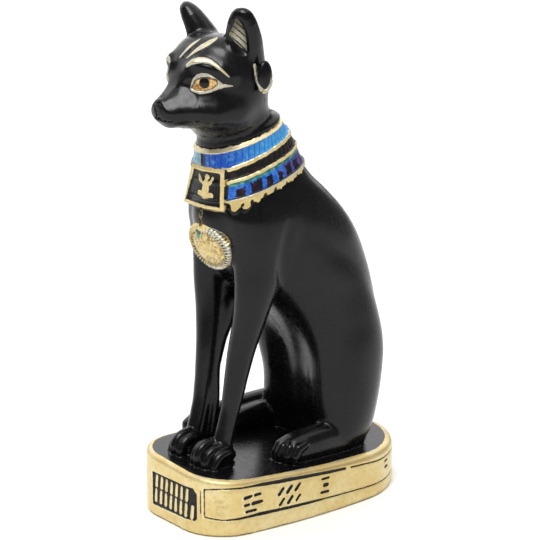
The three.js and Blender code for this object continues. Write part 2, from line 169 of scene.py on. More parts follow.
# On the face and skull, in face coordinates: arc about the head, height, half width
BROW_LINE = [[3.94, 134.6, 0.56], [5.18, 135.45, 0.76], [7.11, 136.1, 0.8], [8.84, 136.2, 0.74], [10.55, 135.8, 0.64], [12.18, 135.0, 0.5], [13.78, 133.8, 0.36], [14.85, 132.8, 0.29], [15.92, 131.8, 0.2]]
STRIPES = [
    [[-1.3, 136.2, 0.22], [0.2, 138.1, 0.5], [1.7, 139.7, 0.7], [3.2, 141.0, 0.4]],
    [[2.2, 136.3, 0.2], [4.4, 138.0, 0.5], [6.4, 139.4, 0.72], [8.7, 140.5, 0.7], [11.5, 141.5, 0.3]],
    [[-6.4, 137.1, 0.2], [-6.7, 138.8, 0.35], [-5.8, 141.0, 0.2]],
]
EYE_RING = [(5.0, 128.1), (5.26, 129.58), (5.96, 131.1), (7.01, 132.22), (8.17, 132.68), (9.58, 132.64), (10.68, 132.33), (11.78, 131.65), (12.9, 130.84), (14.57, 129.62),
            (17.2, 129.3), (17.2, 128.98), (14.56, 128.74), (12.86, 128.19), (11.15, 127.49), (9.5, 127.07), (7.92, 126.91), (6.66, 127.17), (5.49, 127.6)]
EYE_BALL = [(5.5, 128.3), (6.0, 129.6), (7.0, 130.85), (8.2, 131.35), (9.55, 131.45), (10.97, 131.33), (12.3, 130.85), (13.0, 129.8), (11.6, 128.45), (9.0, 127.65), (7.3, 127.68), (6.2, 127.95)]
PUPIL = (9.2, 130.0, 1.42)
EAR_PATCH = [(-0.9, 147.5), (-1.8, 145.9), (-3.3, 143.1), (-3.1, 142.3), (-1.84, 140.6), (-0.43, 139.3), (1.4, 138.25), (1.27, 141.8), (1.0, 144.5), (0.16, 146.4)]
# Collar rows from the top down: height at y = 0, and its rise along +Y
ROWS = [(118.25, 0.327), (114.05, 0.369), (109.36, 0.329), (103.85, 0.302), (102.45, 0.346)]
NOTCHES = [(6.0, 1.4), (9.1, 0.6), (10.9, 0.6), (13.9, 0.75), (16.6, 0.75), (20.4, 0.5), (24.5, 0.5), (28.5, 0.5)]
DROPS = [(7.7, 0.55), (9.95, 0.7), (12.3, 0.4), (18.4, 0.3), (22.4, 0.3), (26.4, 0.3)]
# Breastplate: half widths and front planes at the lower and upper edge
PLATE = dict(z=(92.7, 104.7), y=(-27.75, -27.3), mid=(-1.35, 0.9), half=(9.45, 7.2), panel_z=(93.9, 103.5), panel_mid=(-1.2, 0.9), panel=(8.0, 5.7), sunk=0.5)
# A small seated figure on the plate, in x and z with half widths
FIGURE = [
    [[0.6, 97.4, 1.5], [0.9, 99.4, 1.25], [1.2, 100.6, 0.8]],
    [[1.3, 101.7, 0.75], [1.5, 102.0, 0.75]],
    [[-0.4, 99.9, 0.4], [-1.6, 100.9, 0.42], [-2.2, 102.0, 0.35]],
    [[2.0, 99.8, 0.4], [3.2, 100.6, 0.42], [3.7, 101.8, 0.35]],
    [[-2.2, 96.9, 0.65], [0.5, 96.5, 0.9], [3.4, 96.8, 0.6]],
]
PENDANT = dict(at=(-0.2, -25.5, 81.0), lean=0.35, half=(9.4, 7.3), rim=1.15)
# Plinth side: frame lines as x, y, z, half width
FRAME = [
    [[14.4, -38.7, 14.1, 0.2], [17.4, -36.2, 14.5, 0.2], [19.7, -33.4, 14.6, 0.22], [21.9, -27.0, 14.4, 0.3], [22.0, -24.2, 14.3, 0.5], [22.8, -13.7, 13.75, 0.55], [23.3, -2.7, 13.0, 0.5], [23.2, 7.4, 12.3, 0.42]],
    [[22.9, 9.8, 12.1, 0.25], [22.75, 15.6, 11.7, 0.2], [21.6, 22.8, 11.1, 0.2], [16.4, 31.2, 10.8, 0.16], [8.0, 37.0, 10.4, 0.14], [0, 40.4, 10.2, 0.14]],
    [[14.4, -38.7, 5.7, 0.18], [18.5, -35.1, 5.0, 0.2], [21.4, -29.5, 5.3, 0.35], [21.9, -24.2, 5.4, 0.5], [22.9, -13.8, 5.1, 0.45], [23.2, -6.0, 4.9, 0.4], [23.2, 1.0, 4.7, 0.2], [23.2, 7.7, 4.45, 0.18], [22.6, 17.9, 4.0, 0.18], [20.0, 26.0, 3.7, 0.16], [10.0, 36.0, 3.6, 0.14], [0, 40.4, 3.6, 0.14]],
    [[14.4, -38.7, 14.1, 0.18], [14.4, -38.7, 5.7, 0.18]],
    [[13.3, -39.2, 13.6, 0.14], [13.3, -39.2, 6.6, 0.14]],
]
# Short strokes between the frame lines: arc from the front, height, arc, height, half width, ink (1) or plain gold (0)
STROKES = [
    [18.0, 10.9, 20.6, 11.0, 0.22, 0], [18.6, 9.1, 21.6, 9.2, 0.22, 0], [18.2, 7.2, 20.4, 7.3, 0.22, 0],
    [26.9, 11.2, 28.9, 11.4, 0.5, 1], [30.3, 11.5, 32.0, 11.6, 0.45, 1], [26.8, 8.9, 28.2, 9.0, 0.42, 1], [29.6, 9.1, 32.4, 9.2, 0.55, 1], [27.4, 6.9, 30.4, 7.0, 0.42, 1],
    [38.6, 9.9, 40.0, 11.5, 0.5, 1], [41.6, 10.0, 43.0, 11.6, 0.55, 1], [44.6, 10.1, 46.0, 11.7, 0.5, 1], [38.9, 6.6, 40.3, 8.2, 0.45, 1], [41.9, 6.7, 43.3, 8.3, 0.5, 1], [44.9, 6.8, 46.1, 8.2, 0.4, 1],
    [54.6, 11.1, 57.0, 11.1, 0.4, 1], [55.4, 9.0, 56.6, 9.0, 0.6, 1], [54.2, 6.9, 56.9, 6.8, 0.42, 1],
    [82.6, 9.6, 84.6, 9.5, 0.35, 1], [83.0, 7.6, 85.2, 7.4, 0.4, 1],
]
# Front panel: outline in x and z, and rows of raised strokes
PANEL = [(-8.6, 3.2), (11.6, 3.9), (12.3, 4.8), (12.3, 12.2), (11.0, 13.9), (-8.6, 13.6)]
PANEL_STROKES = [[-7.2 + 2.5 * k + (0.5 if r else 0), (4.7, 9.5)[r], -6.9 + 2.5 * k + (0.5 if r else 0), (8.1, 12.6)[r], 0.58] for r in (0, 1) for k in range(8 - r)]
PLINTH = dict(a=19.35, bulge=0.206, b=40.93, rf=12.2, rr=23.2, top=16.15, back=-2.11, side=-1.14)


def spline(rows, n=256):
    """Smooth table: the first column is the position, the rest are read along it."""
    rows = np.asarray(rows, float)
    t = rows[:, 0]
    slope = np.empty_like(rows)
    slope[1:-1] = (rows[2:] - rows[:-2]) / (t[2:] - t[:-2])[:, None]
    slope[0] = (rows[1] - rows[0]) / (t[1] - t[0])
    slope[-1] = (rows[-1] - rows[-2]) / (t[-1] - t[-2])
    x = np.linspace(t[0], t[-1], n)
    i = np.clip(np.searchsorted(t, x, side="right") - 1, 0, len(t) - 2)
    h = (t[i + 1] - t[i])[:, None]
    s = ((x - t[i]) / (t[i + 1] - t[i]))[:, None]
    out = (
        (2 * s**3 - 3 * s**2 + 1) * rows[i]
        + (s**3 - 2 * s**2 + s) * h * slope[i]
        + (-2 * s**3 + 3 * s**2) * rows[i + 1]
        + (s**3 - s**2) * h * slope[i + 1]
    )
    out[:, 0] = x
    return out


def along(S, t):
    """Columns of a smooth table at positions t."""
    t0, t1 = S[0, 0], S[-1, 0]
    f = (np.clip(t, t0, t1) - t0) / (t1 - t0) * (len(S) - 1)
    i = np.minimum(f.astype(int), len(S) - 2)
    f = (f - i)[:, None]
    return (S[i] * (1 - f) + S[i + 1] * f).T


def section(du, dv, a, b, n):
    """Signed distance, to first order, from a superellipse."""
    X, Y = np.abs(du) / a, np.abs(dv) / b
    F = (X**n + Y**n) ** (1 / n) + 1e-9
    g = np.hypot(X ** (n - 1) / a, Y ** (n - 1) / b) * F ** (1 - n)
    return (F - 1) / np.maximum(g, 1e-6)


def capped(d, t, t0, t1):
    """The section's distance where t is between the ends, and a flat end past them."""
    e = np.maximum(t0 - t, t - t1)
    return np.where(e > 0, np.hypot(np.maximum(d, 0), np.maximum(e, 0)), np.maximum(d, e))


def smin(a, b, k):
    h = np.maximum(k - np.abs(a - b), 0) / k
    return np.minimum(a, b) - h * h * k * 0.25


def smax(a, b, k):
    return -smin(-a, -b, k)


def ellipsoid(p, c, r, turn=0.0, pitch=0.0):
    """Distance from an ellipsoid that is turned about Z, and pitched about its own X."""
    q = p - np.asarray(c, float)
    if turn:
        co, si = math.cos(turn), math.sin(turn)
        q = np.stack([q[:, 0] * co + q[:, 1] * si, -q[:, 0] * si + q[:, 1] * co, q[:, 2]], 1)
    if pitch:
        co, si = math.cos(pitch), math.sin(pitch)
        q = np.stack([q[:, 0], q[:, 1] * co + q[:, 2] * si, -q[:, 1] * si + q[:, 2] * co], 1)
    r = np.asarray(r, float)
    k0 = np.linalg.norm(q / r, axis=1) + 1e-9
    k1 = np.linalg.norm(q / r**2, axis=1) + 1e-9
    return k0 * (k0 - 1) / k1


def chain(p, pts):
    """Distance from a run of round cones through [x, y, z, radius] points."""
    out = np.full(len(p), 1e3)
    pts = np.asarray(pts, float)
    for a, b in zip(pts[:-1], pts[1:]):
        ab = b[:3] - a[:3]
        t = np.clip(((p - a[:3]) @ ab) / (ab @ ab), 0, 1)
        d = np.linalg.norm(p - a[:3] - t[:, None] * ab, axis=1) - (a[3] + (b[3] - a[3]) * t)
        np.minimum(out, d, out=out)
    return out


def path3(p, pts):
    """Distance from a run of straight lines through [x, y, z] points."""
    return chain(p, [(*a, 0.0) for a in pts])


def smooth_path(pts, n):
    """Catmull-Rom points along a path of [x, y, z, radius] rows."""
    pts = np.asarray(pts, float)
    t = np.concatenate([[0], np.cumsum(np.linalg.norm(np.diff(pts[:, :3], axis=0), axis=1))])
    return spline(np.column_stack([t, pts]), n)[:, 1:]


def where_near(p, lo, hi, f, margin=6.0):
    """f(p) inside a box, and the distance to the box, plus the margin, outside it."""
    lo, hi = np.asarray(lo, float) - margin, np.asarray(hi, float) + margin
    e = np.maximum(np.maximum(lo - p, p - hi), 0)
    out = np.linalg.norm(e, axis=1) + margin
    m = out <= margin
    if m.any():
        out[m] = f(p[m])
    return out


def polygon(u, w, pts):
    """Signed distance in the plane from a polygon, negative inside."""
    pts = np.asarray(pts, float)
    best, inside = np.full(len(u), 1e9), np.zeros(len(u), bool)
    for (ax, ay), (bx, by) in zip(pts, np.roll(pts, -1, 0)):
        dx, dy = bx - ax, by - ay
        t = np.clip(((u - ax) * dx + (w - ay) * dy) / (dx * dx + dy * dy), 0, 1)
        best = np.minimum(best, np.hypot(u - ax - t * dx, w - ay - t * dy))
        cross = (ay > w) != (by > w)
        inside ^= cross & (u < ax + (w - ay) * dx / (dy if dy else 1e-9))
    return np.where(inside, -best, best)


def line(u, w, pts):
    """Signed distance in the plane from a run of tapered strokes, [u, w, half width]."""
    out = np.full(len(u), 1e3)
    for a, b in zip(pts[:-1], pts[1:]):
        dx, dy = b[0] - a[0], b[1] - a[1]
        t = np.clip(((u - a[0]) * dx + (w - a[1]) * dy) / (dx * dx + dy * dy + 1e-9), 0, 1)
        np.minimum(out, np.hypot(u - a[0] - t * dx, w - a[1] - t * dy) - (a[2] + (b[2] - a[2]) * t), out=out)
    return out


def swell(d, soft):
    """1 where d is well under zero, falling smoothly to 0 past it."""
    t = np.clip(0.5 - d / (2 * soft), 0, 1)
    return t * t * (3 - 2 * t)


S_TRUNK, S_FORELEG, S_HAUNCH = spline(TRUNK), spline(FORELEG), spline(HAUNCH)
S_FOREPAW, S_HINDFOOT, S_HEAD = spline(FOREPAW), spline(HINDFOOT), spline(HEAD)
P_TAIL = smooth_path(TAIL, 26)


def trunk(p):
    _, front, back, a, n = along(S_TRUNK, p[:, 2])
    d = section(p[:, 0], p[:, 1] - (front + back) / 2, a, (back - front) / 2, n)
    return capped(d, p[:, 2], S_TRUNK[0, 0], S_TRUNK[-1, 0])


def upright(S, p, n=2.0):
    _, x, y, a, b = along(S, p[:, 2])
    return capped(section(p[:, 0] - x, p[:, 1] - y, a, b, n), p[:, 2], S[0, 0], S[-1, 0])


def lying(S, p, n=2.0):
    _, x, z, a, b = along(S, p[:, 1])
    return capped(section(p[:, 0] - x, p[:, 2] - z, a, b, n), p[:, 1], S[0, 0], S[-1, 0])


def head_core(p):
    _, z, a, up, down = along(S_HEAD, p[:, 1])
    dz = p[:, 2] - z
    above = dz > 0
    d = section(p[:, 0], dz, a, np.where(above, up, down), np.where(above, 2.7, 2.3))
    return capped(d, p[:, 1], S_HEAD[0, 0], S_HEAD[-1, 0])


def eye_frame(q):
    """Along the lids, away from the face, and height, from the middle of the eye on +X."""
    c, t = EYE["at"], EYE["turn"]
    dx, dy = q[:, 0] - c[0], q[:, 1] - c[1]
    return dx * math.cos(t) + dy * math.sin(t), dx * math.sin(t) - dy * math.cos(t), q[:, 2] - c[2]


def muzzle(q, d):
    """Whisker pads, nose pad, nostrils, the mouth line and the chin."""
    d = smin(d, ellipsoid(q, (2.3, -40.0, 122.0), (2.8, 2.5, 2.6)), 1.0)
    d = smin(d, ellipsoid(q, (0, -38.5, 118.8), (2.6, 2.0, 1.5)), 1.0)
    d = smin(d, ellipsoid(q, (0, -41.9, 124.2), (2.1, 1.2, 1.3), pitch=0.35), 0.5)
    d = smax(d, 0.34 - path3(q, [(1.3, -42.7, 123.9), (2.1, -42.0, 123.4)]), 0.3)
    d = smax(d, 0.3 - path3(q, [(0, -43.2, 122.9), (0, -42.9, 121.2), (0, -42.0, 119.9)]), 0.4)
    lips = [(0, -42.5, 120.5), (1.6, -42.2, 119.8), (3.4, -40.9, 119.7), (4.8, -38.9, 120.1), (5.9, -36.9, 120.8)]
    return smax(d, 0.32 - path3(q, lips), 0.45)


def face(q):
    """The head without ears, for x > 0."""
    d = head_core(q)
    d = smin(d, chain(q, BROW), 2.2)
    d = smin(d, chain(q, CHEEK), 3.0)
    u, n, w = eye_frame(q)
    socket = ellipsoid(q, (9.5, -34.2, 129.5), (5.6, 1.9, 2.9), turn=EYE["turn"])
    d = smax(d, -socket, 1.6)
    d = smin(d, ellipsoid(q, EYE["at"], EYE["half"], turn=EYE["turn"]), 0.35)
    # a soft hollow at the inner corner of the eye
    d = smax(d, 0.9 - path3(q, [(4.6, -38.0, 129.6), (3.6, -39.9, 127.8)]), 1.6)
    d = np.where(q[:, 1] < -35, muzzle(q, d), d)
    # a flat on the side of the muzzle
    away = np.linalg.norm(q - np.array([5.0, -38.6, 125.3]), axis=1)
    flat = q @ np.array([0.633, -0.553, 0.543]) - 92.35 - 1.2 * np.clip((away - 4.0) / 2.0, 0, 2) ** 2
    return smax(d, flat, 0.7)


def face_arc(p):
    return 15.5 * np.arctan2(p[:, 0], -(p[:, 1] + 20))


def face_relief(p):
    """How far painted lines and the lids stand out of the head."""
    s, z = face_arc(p), p[:, 2]
    a = np.abs(s)
    out = 0.3 * swell(line(a, z, BROW_LINE) + 0.1, 0.45)
    ring, ball = polygon(a, z, EYE_RING), polygon(a, z, EYE_BALL)
    out += 0.3 * swell(ring + 0.1, 0.35) - 0.28 * swell(ball + 0.1, 0.3)
    k = PUPIL
    out += 0.1 * swell(np.hypot(a - k[0], z - k[1]) - k[2], 0.3)
    for st in STRIPES:
        out += 0.16 * swell(line(s, z, st), 0.4)
    # shallow furrows fan up the forehead beside the stripes
    for st in STRIPES[:2]:
        low = [[u + 1.5, w - 0.5, 0.12] for u, w, _ in st[:-1]]
        out -= 0.14 * swell(line(s, z, low), 0.35)
    return out


def ear(q):
    """The ear on +X, with its scooped front."""
    foot, tip = np.array(EAR["foot"]), np.array(EAR["tip"])
    axis = tip - foot
    t = (q - foot) @ axis / (axis @ axis)
    c = foot + np.clip(t, -0.2, 1)[:, None] * axis
    wide = np.array([math.cos(EAR["turn"]), math.sin(EAR["turn"]), 0])
    deep = np.array([wide[1], -wide[0], 0])
    e = np.array(EAR_SIZE)
    tt = np.clip(t, -0.2, 1)
    a, b = np.interp(tt, e[:, 0], e[:, 1]), np.interp(tt, e[:, 0], e[:, 2])
    u, v = (q - c) @ wide, (q - c) @ deep
    d = section(u + 0.55 * np.clip(1 - tt, 0, 1), v, a + 0.15, b, 2.0)
    over = (t - 1.0) * np.linalg.norm(axis)
    d = np.maximum(d, over)
    # the open front, scooped out beside a thick outer edge
    e = np.stack([(u + 0.8) / 3.0, (v - b + 0.1) / 1.8, (t - 0.5) * 17.6 / 6.6], 1)
    k = np.linalg.norm(e, axis=1)
    return smax(d, (1 - k) * 1.5, 0.5)


def lobe(q):
    return smin(ellipsoid(q, LOBE["at"], LOBE["half"]), chain(q, HOOP), 0.12)


def top_at(x, y):
    return PLINTH["top"] + PLINTH["back"] * y / PLINTH["b"] + PLINTH["side"] * x / PLINTH["a"]


def plinth_side(p):
    """Distance in plan from the plinth's outline."""
    a, b, rf, rr = PLINTH["a"], PLINTH["b"], PLINTH["rf"], PLINTH["rr"]
    x = np.abs(p[:, 0]) / (1 + PLINTH["bulge"] * np.maximum(1 - (p[:, 1] / b) ** 2, 0))
    y = p[:, 1]
    rear = y > b - rr
    yr = (y - (b - rr)) * a / rr
    dr = np.hypot(x, np.maximum(yr, 0)) - a
    qx, qy = x - (a - rf), (-y) - (b - rf)
    df = np.hypot(np.maximum(qx, 0), np.maximum(qy, 0)) + np.minimum(np.maximum(qx, qy), 0) - rf
    return np.where(rear, dr, df)


def outline_table(n=721):
    """Angle from the front, and arc length along the plinth's outline, for x >= 0."""
    phi = np.linspace(0, math.pi, n)
    ray = np.stack([np.sin(phi), -np.cos(phi), np.zeros(n)], 1)
    lo, hi = np.full(n, 5.0), np.full(n, 60.0)
    for _ in range(40):
        mid = (lo + hi) / 2
        out = plinth_side(ray * mid[:, None]) > 0
        lo, hi = np.where(out, lo, mid), np.where(out, mid, hi)
    at = ray * hi[:, None]
    return phi, np.concatenate([[0], np.cumsum(np.linalg.norm(np.diff(at, axis=0), axis=1))])


OUT_PHI, OUT_ARC = outline_table()


def around(p):
    """Arc along the plinth's outline from the front, the same on both sides."""
    return np.interp(np.arctan2(np.abs(p[:, 0]), -p[:, 1]), OUT_PHI, OUT_ARC)


FRAME_LINES = []
for rows in FRAME:
    rows = np.array(rows, float)
    FRAME_LINES.append(np.column_stack([around(rows[:, :3]), rows[:, 2], rows[:, 3]]).tolist())


def panel_area(p):
    return np.where(p[:, 1] < -30, polygon(p[:, 0], p[:, 2], PANEL), 9.0)


def panel_marks(p):
    out = np.full(len(p), 9.0)
    for a, b, c, e, r in PANEL_STROKES:
        out = np.minimum(out, line(p[:, 0], p[:, 2], [[a, b, r], [c, e, r * 0.8]]))
    return np.where(p[:, 1] < -30, out, 9.0)


def plinth_relief(p):
    """Relief of the plinth's side: sunk frame lines and strokes, and the sunk front panel."""
    s, z = around(p), p[:, 2]
    out = np.zeros(len(p))
    for rows in FRAME_LINES:
        d = line(s, z, rows)
        out -= 0.32 * swell(d, 0.25)
        if len(rows) > 3:
            low = [[a, b - 0.95 - c, 0.12] for a, b, c in rows]
            out += 0.2 * swell(line(s, z, low), 0.45)
    for a, b, c, e, r, ink in STROKES:
        m = np.abs(s - (a + c) / 2) < 6
        if m.any():
            t = line(s[m], z[m], [[a, b, r], [c, e, r * 0.9]])
            out[m] -= (0.34 if ink else 0.2) * swell(t, 0.25)
            t = line(s[m], z[m], [[a + 0.1, b - r - 0.55, 0.1], [c + 0.1, e - r - 0.55, 0.1]])
            out[m] += 0.16 * swell(t, 0.4)
    front = p[:, 1] < -30
    if front.any():
        q = p[front]
        out[front] -= 0.6 * swell(panel_area(q) + 0.15, 0.3)
        out[front] += 0.5 * swell(panel_marks(q), 0.3)
    return out


def plinth(p, fine=True):
    side = plinth_side(p)
    top = p[:, 2] - top_at(p[:, 0], p[:, 1])
    if fine:
        m = (np.abs(side) < 2.0) & (p[:, 2] < 16) & (p[:, 2] > 1)
        if m.any():
            side = side.copy()
            side[m] -= plinth_relief(p[m])
    d = smax(side, top, 2.0)
    return smax(d, -p[:, 2], 0.5)


def collar_arc(p):
    return 12.5 * np.arctan2(p[:, 0], -(p[:, 1] + 9))


def rows_at(p):
    y = np.clip(p[:, 1], -30, 12)
    return [(p[:, 2] - (a + b * y)) * 0.95 for a, b in ROWS]


def low_edge(p, r5):
    """The scalloped lower edge of the collar: notches cut in, drops hung below."""
    s = np.abs(collar_arc(p))
    out = -r5
    for at, r in DROPS:
        out = smin(out, np.hypot(s - at, r5 + 0.15) - r, 0.4)
    for at, r in NOTCHES:
        out = smax(out, r - np.hypot((s - at) * 1.5, r5 - 0.1) , 0.3)
    return out


def collar(p, d, fine=True):
    """The neck and chest, d, with the collar's bands and rims laid round them."""
    r = rows_at(p)
    _, outer, _ = plate_frame(p)
    thick = 0.6 * np.where(p[:, 1] < -12, np.clip((outer + 0.2) / 0.8, 0, 1), 1)
    s = collar_arc(p)
    lip = (0.1 + 1.25 * swell(-12 - p[:, 1], 7)) * swell(np.abs(r[0] - 1.6) - 0.8, 0.75)
    high = smax(thick * swell(r[0], 0.35), lip, 0.3)
    if not fine:
        return np.where(r[4] > 0, d - high, smin(d, smax(d - high, -r[4], 0.3), 0.2))
    high = high + 0.42 * swell(np.abs(r[0] + 0.05) - 0.55 - 0.07 * np.sin(s * 1.7) - 0.05 * np.sin(s * 3.9), 0.36)
    out = np.where(r[4] > 1.2, d - high, smin(d, smax(d - high, -r[4], 0.3), 0.2))
    for k, t in ((1, 0.85), (2, 0.68)):
        wave = 0.09 * np.sin(s * 1.7 + k * 2.0) + 0.06 * np.sin(s * 3.9 + k)
        out = smin(out, np.hypot(d - thick + 0.15, r[k]) - t - wave, 0.25)
    rim = smax(smax(d - thick - 0.4, r[3] - 0.1, 0.4), low_edge(p, r[4]), 0.4)
    out = smin(out, rim, 0.2)
    top_line = np.hypot(d - thick - 0.35, r[3] + 0.25) - 0.3
    out = smin(out, top_line, 0.25)
    # ribs across the bands
    blue = np.clip(np.minimum(-r[0] - 0.6, r[1] - 0.7) / 0.4, 0, 1)
    dark = np.clip(np.minimum(-r[1] - 0.7, r[2] - 0.6) / 0.4, 0, 1)
    out += blue * 0.06 * (1 + np.cos(s * 2 * math.pi / 1.35)) ** 2 / 2 + dark * 0.07 * (1 + np.cos(s * 2 * math.pi / 1.9))
    return out


def blocks(p):
    """Upright dark blocks along the wide band, in the plane of the band."""
    r = rows_at(p)
    s = np.abs(collar_arc(p))
    k = np.round((s - 8.6) / 3.4)
    near = s - 8.6 - 3.4 * k
    tall = 0.62 * (r[2] - r[3]) * 0 + (r[3] - 2.6 + 0.35 * np.cos(k * 2.3))
    d = np.maximum(np.abs(near) - 0.95 - 0.25 * np.sin(k * 1.7), tall)
    return np.where((s > 6.4), np.maximum(d, -r[3] + 0.15), 9.0)


def plate_frame(p):
    """In front of the plate's plane, its outline and its panel's outline, all in mm."""
    c = PLATE
    t = (p[:, 2] - c["z"][0]) / (c["z"][1] - c["z"][0])
    plane = c["y"][0] + (c["y"][1] - c["y"][0]) * t + np.where(p[:, 0] < 0, 0.009, 0.022) * p[:, 0] ** 2
    z = p[:, 2]
    x = np.abs(p[:, 0] - c["mid"][0] - (c["mid"][1] - c["mid"][0]) * t)
    outer = smax(x - (c["half"][0] + (c["half"][1] - c["half"][0]) * t), np.maximum(z - c["z"][1], c["z"][0] - z), 0.6)
    tp = (z - c["panel_z"][0]) / (c["panel_z"][1] - c["panel_z"][0])
    x = np.abs(p[:, 0] - c["panel_mid"][0] - (c["panel_mid"][1] - c["panel_mid"][0]) * tp)
    inner = np.maximum(x - (c["panel"][0] + (c["panel"][1] - c["panel"][0]) * tp), np.maximum(z - c["panel_z"][1], c["panel_z"][0] - z))
    return plane - p[:, 1], outer, inner


def figure(p):
    out = np.full(len(p), 9.0)
    for rows in FIGURE:
        out = np.minimum(out, line(p[:, 0], p[:, 2], rows))
    return out


def plate(p, fine=True):
    out, outer, inner = plate_frame(p)
    if fine:
        relief = -PLATE["sunk"] * swell(inner, 0.25)
        relief += 0.42 * swell(figure(p), 0.3) * swell(inner, 0.25)
        ribs = np.clip((97.0 - p[:, 2]) / 1.0, 0, 1) + np.clip((p[:, 0] - 3.8) / 0.8, 0, 1) * 0.6
        relief += 0.08 * np.cos(p[:, 0] * 2 * math.pi / 0.95) * np.clip(ribs, 0, 1) * swell(inner + 0.3, 0.2)
        relief += 0.12 * swell(np.abs(outer + 1.0) - 0.5, 0.3)
        out = out - relief
    d = smax(smax(outer, out, 0.5), p[:, 1] + 17, 0.5)
    return d


def pendant_frame(p):
    c = PENDANT
    q = p - np.asarray(c["at"])
    cl, sl = math.cos(c["lean"]), math.sin(c["lean"])
    return q[:, 0], -q[:, 1] * sl + q[:, 2] * cl, -q[:, 1] * cl - q[:, 2] * sl + 0.009 * q[:, 0] ** 2


def dashes(u, w):
    """A field of short leaning strokes, -1 in the middle of each."""
    return np.sin(u * 2.7 + 1.4 * np.sin(w * 1.15)) * np.sin(w * 3.4 + 1.8 * np.sin(u * 0.85 + 0.4))


def pendant(p, fine=True):
    u, w, n = pendant_frame(p)
    a, b, r = *PENDANT["half"], PENDANT["rim"]
    edge = section(u, w, a - r, b - r, 2.0)
    ring = np.hypot(edge, n + 0.2) - r
    if fine:
        ang = np.arctan2(w * a / b, u)
        ring = ring - 0.2 * np.cos(ang * 46) * np.clip(1.2 - np.abs(edge) / 2.0, 0, 1)
    back = smax(section(u, w, a - 0.3, b - 0.3, 2.0) - 0.12 * np.minimum(n, 0), np.maximum(n + 0.1, -n - 7), 0.4)
    if fine:
        back = back - 0.14 * np.cos(np.arctan2(w * a / b, u) * 46)
    dome = ellipsoid(np.stack([u, w, n], 1), (0, 0, -0.9), (a - r, b - r, 2.6))
    if fine:
        dome = dome - 0.14 * np.clip(dashes(u, w) + 0.3, -1, 0.6)
    return smin(smin(ring, back, 0.3), dome, 0.25)


BEADS = [(-0.4, -28.0, 92.2, 0.7), (-0.45, -28.2, 91.1, 0.85), (-0.4, -28.3, 89.8, 0.8), (-0.35, -28.3, 88.6, 0.8)]
CREASE = smooth_path([(14.6, -8.0, 67.0, 0.9), (15.6, -9.1, 70.0, 1.9), (16.6, -10.1, 73.2, 2.5), (17.6, -10.5, 77.3, 2.6), (18.2, -10.3, 80.8, 2.6), (18.6, -9.8, 83.8, 2.6), (19.0, -8.8, 87.2, 2.6)], 30)


def curled(x, back, drop, r):
    """A toe that arches over and curls under at the front."""
    rows = [(x - 0.45 * (x - 6.8), -26.4, 22.6, 1.1 * r), (x, -29.6, 24.1, 1.35 * r), (x, -32.5, 23.4, 1.45 * r), (x, -34.3, 21.2, 1.5 * r), (x, -34.3, 18.8, 1.45 * r), (x, -33.0, 16.8, 1.3 * r)]
    return smooth_path([(a, b + back, c - drop, e) for a, b, c, e in rows], 26)


TOES = [curled(3.5, 0.5, 0.9, 0.95), curled(5.75, 0.0, 0.0, 1.0), curled(8.1, 1.0, 1.5, 1.0), curled(10.2, 2.6, 2.7, 0.92)]
HIND_TOES = [[(x, -6.2 + b, 21.0, 1.3), (x, -8.7 + b, 20.2, 1.6), (x, -10.1 + b, 18.2, 1.6), (x, -10.2 + b, 16.8, 1.3)] for x, b in ((11.6, 0.2), (13.8, -0.2), (16.0, 0.5), (17.8, 2.2))]


def toes(q, d, k=0.3):
    t = chain(q, TOES[0])
    for c in TOES[1:]:
        t = smin(t, chain(q, c), k)
    return smin(d, t, 0.9)


def hind_toes(q, d):
    for c in HIND_TOES:
        d = smin(d, chain(q, c), 0.5)
    return d


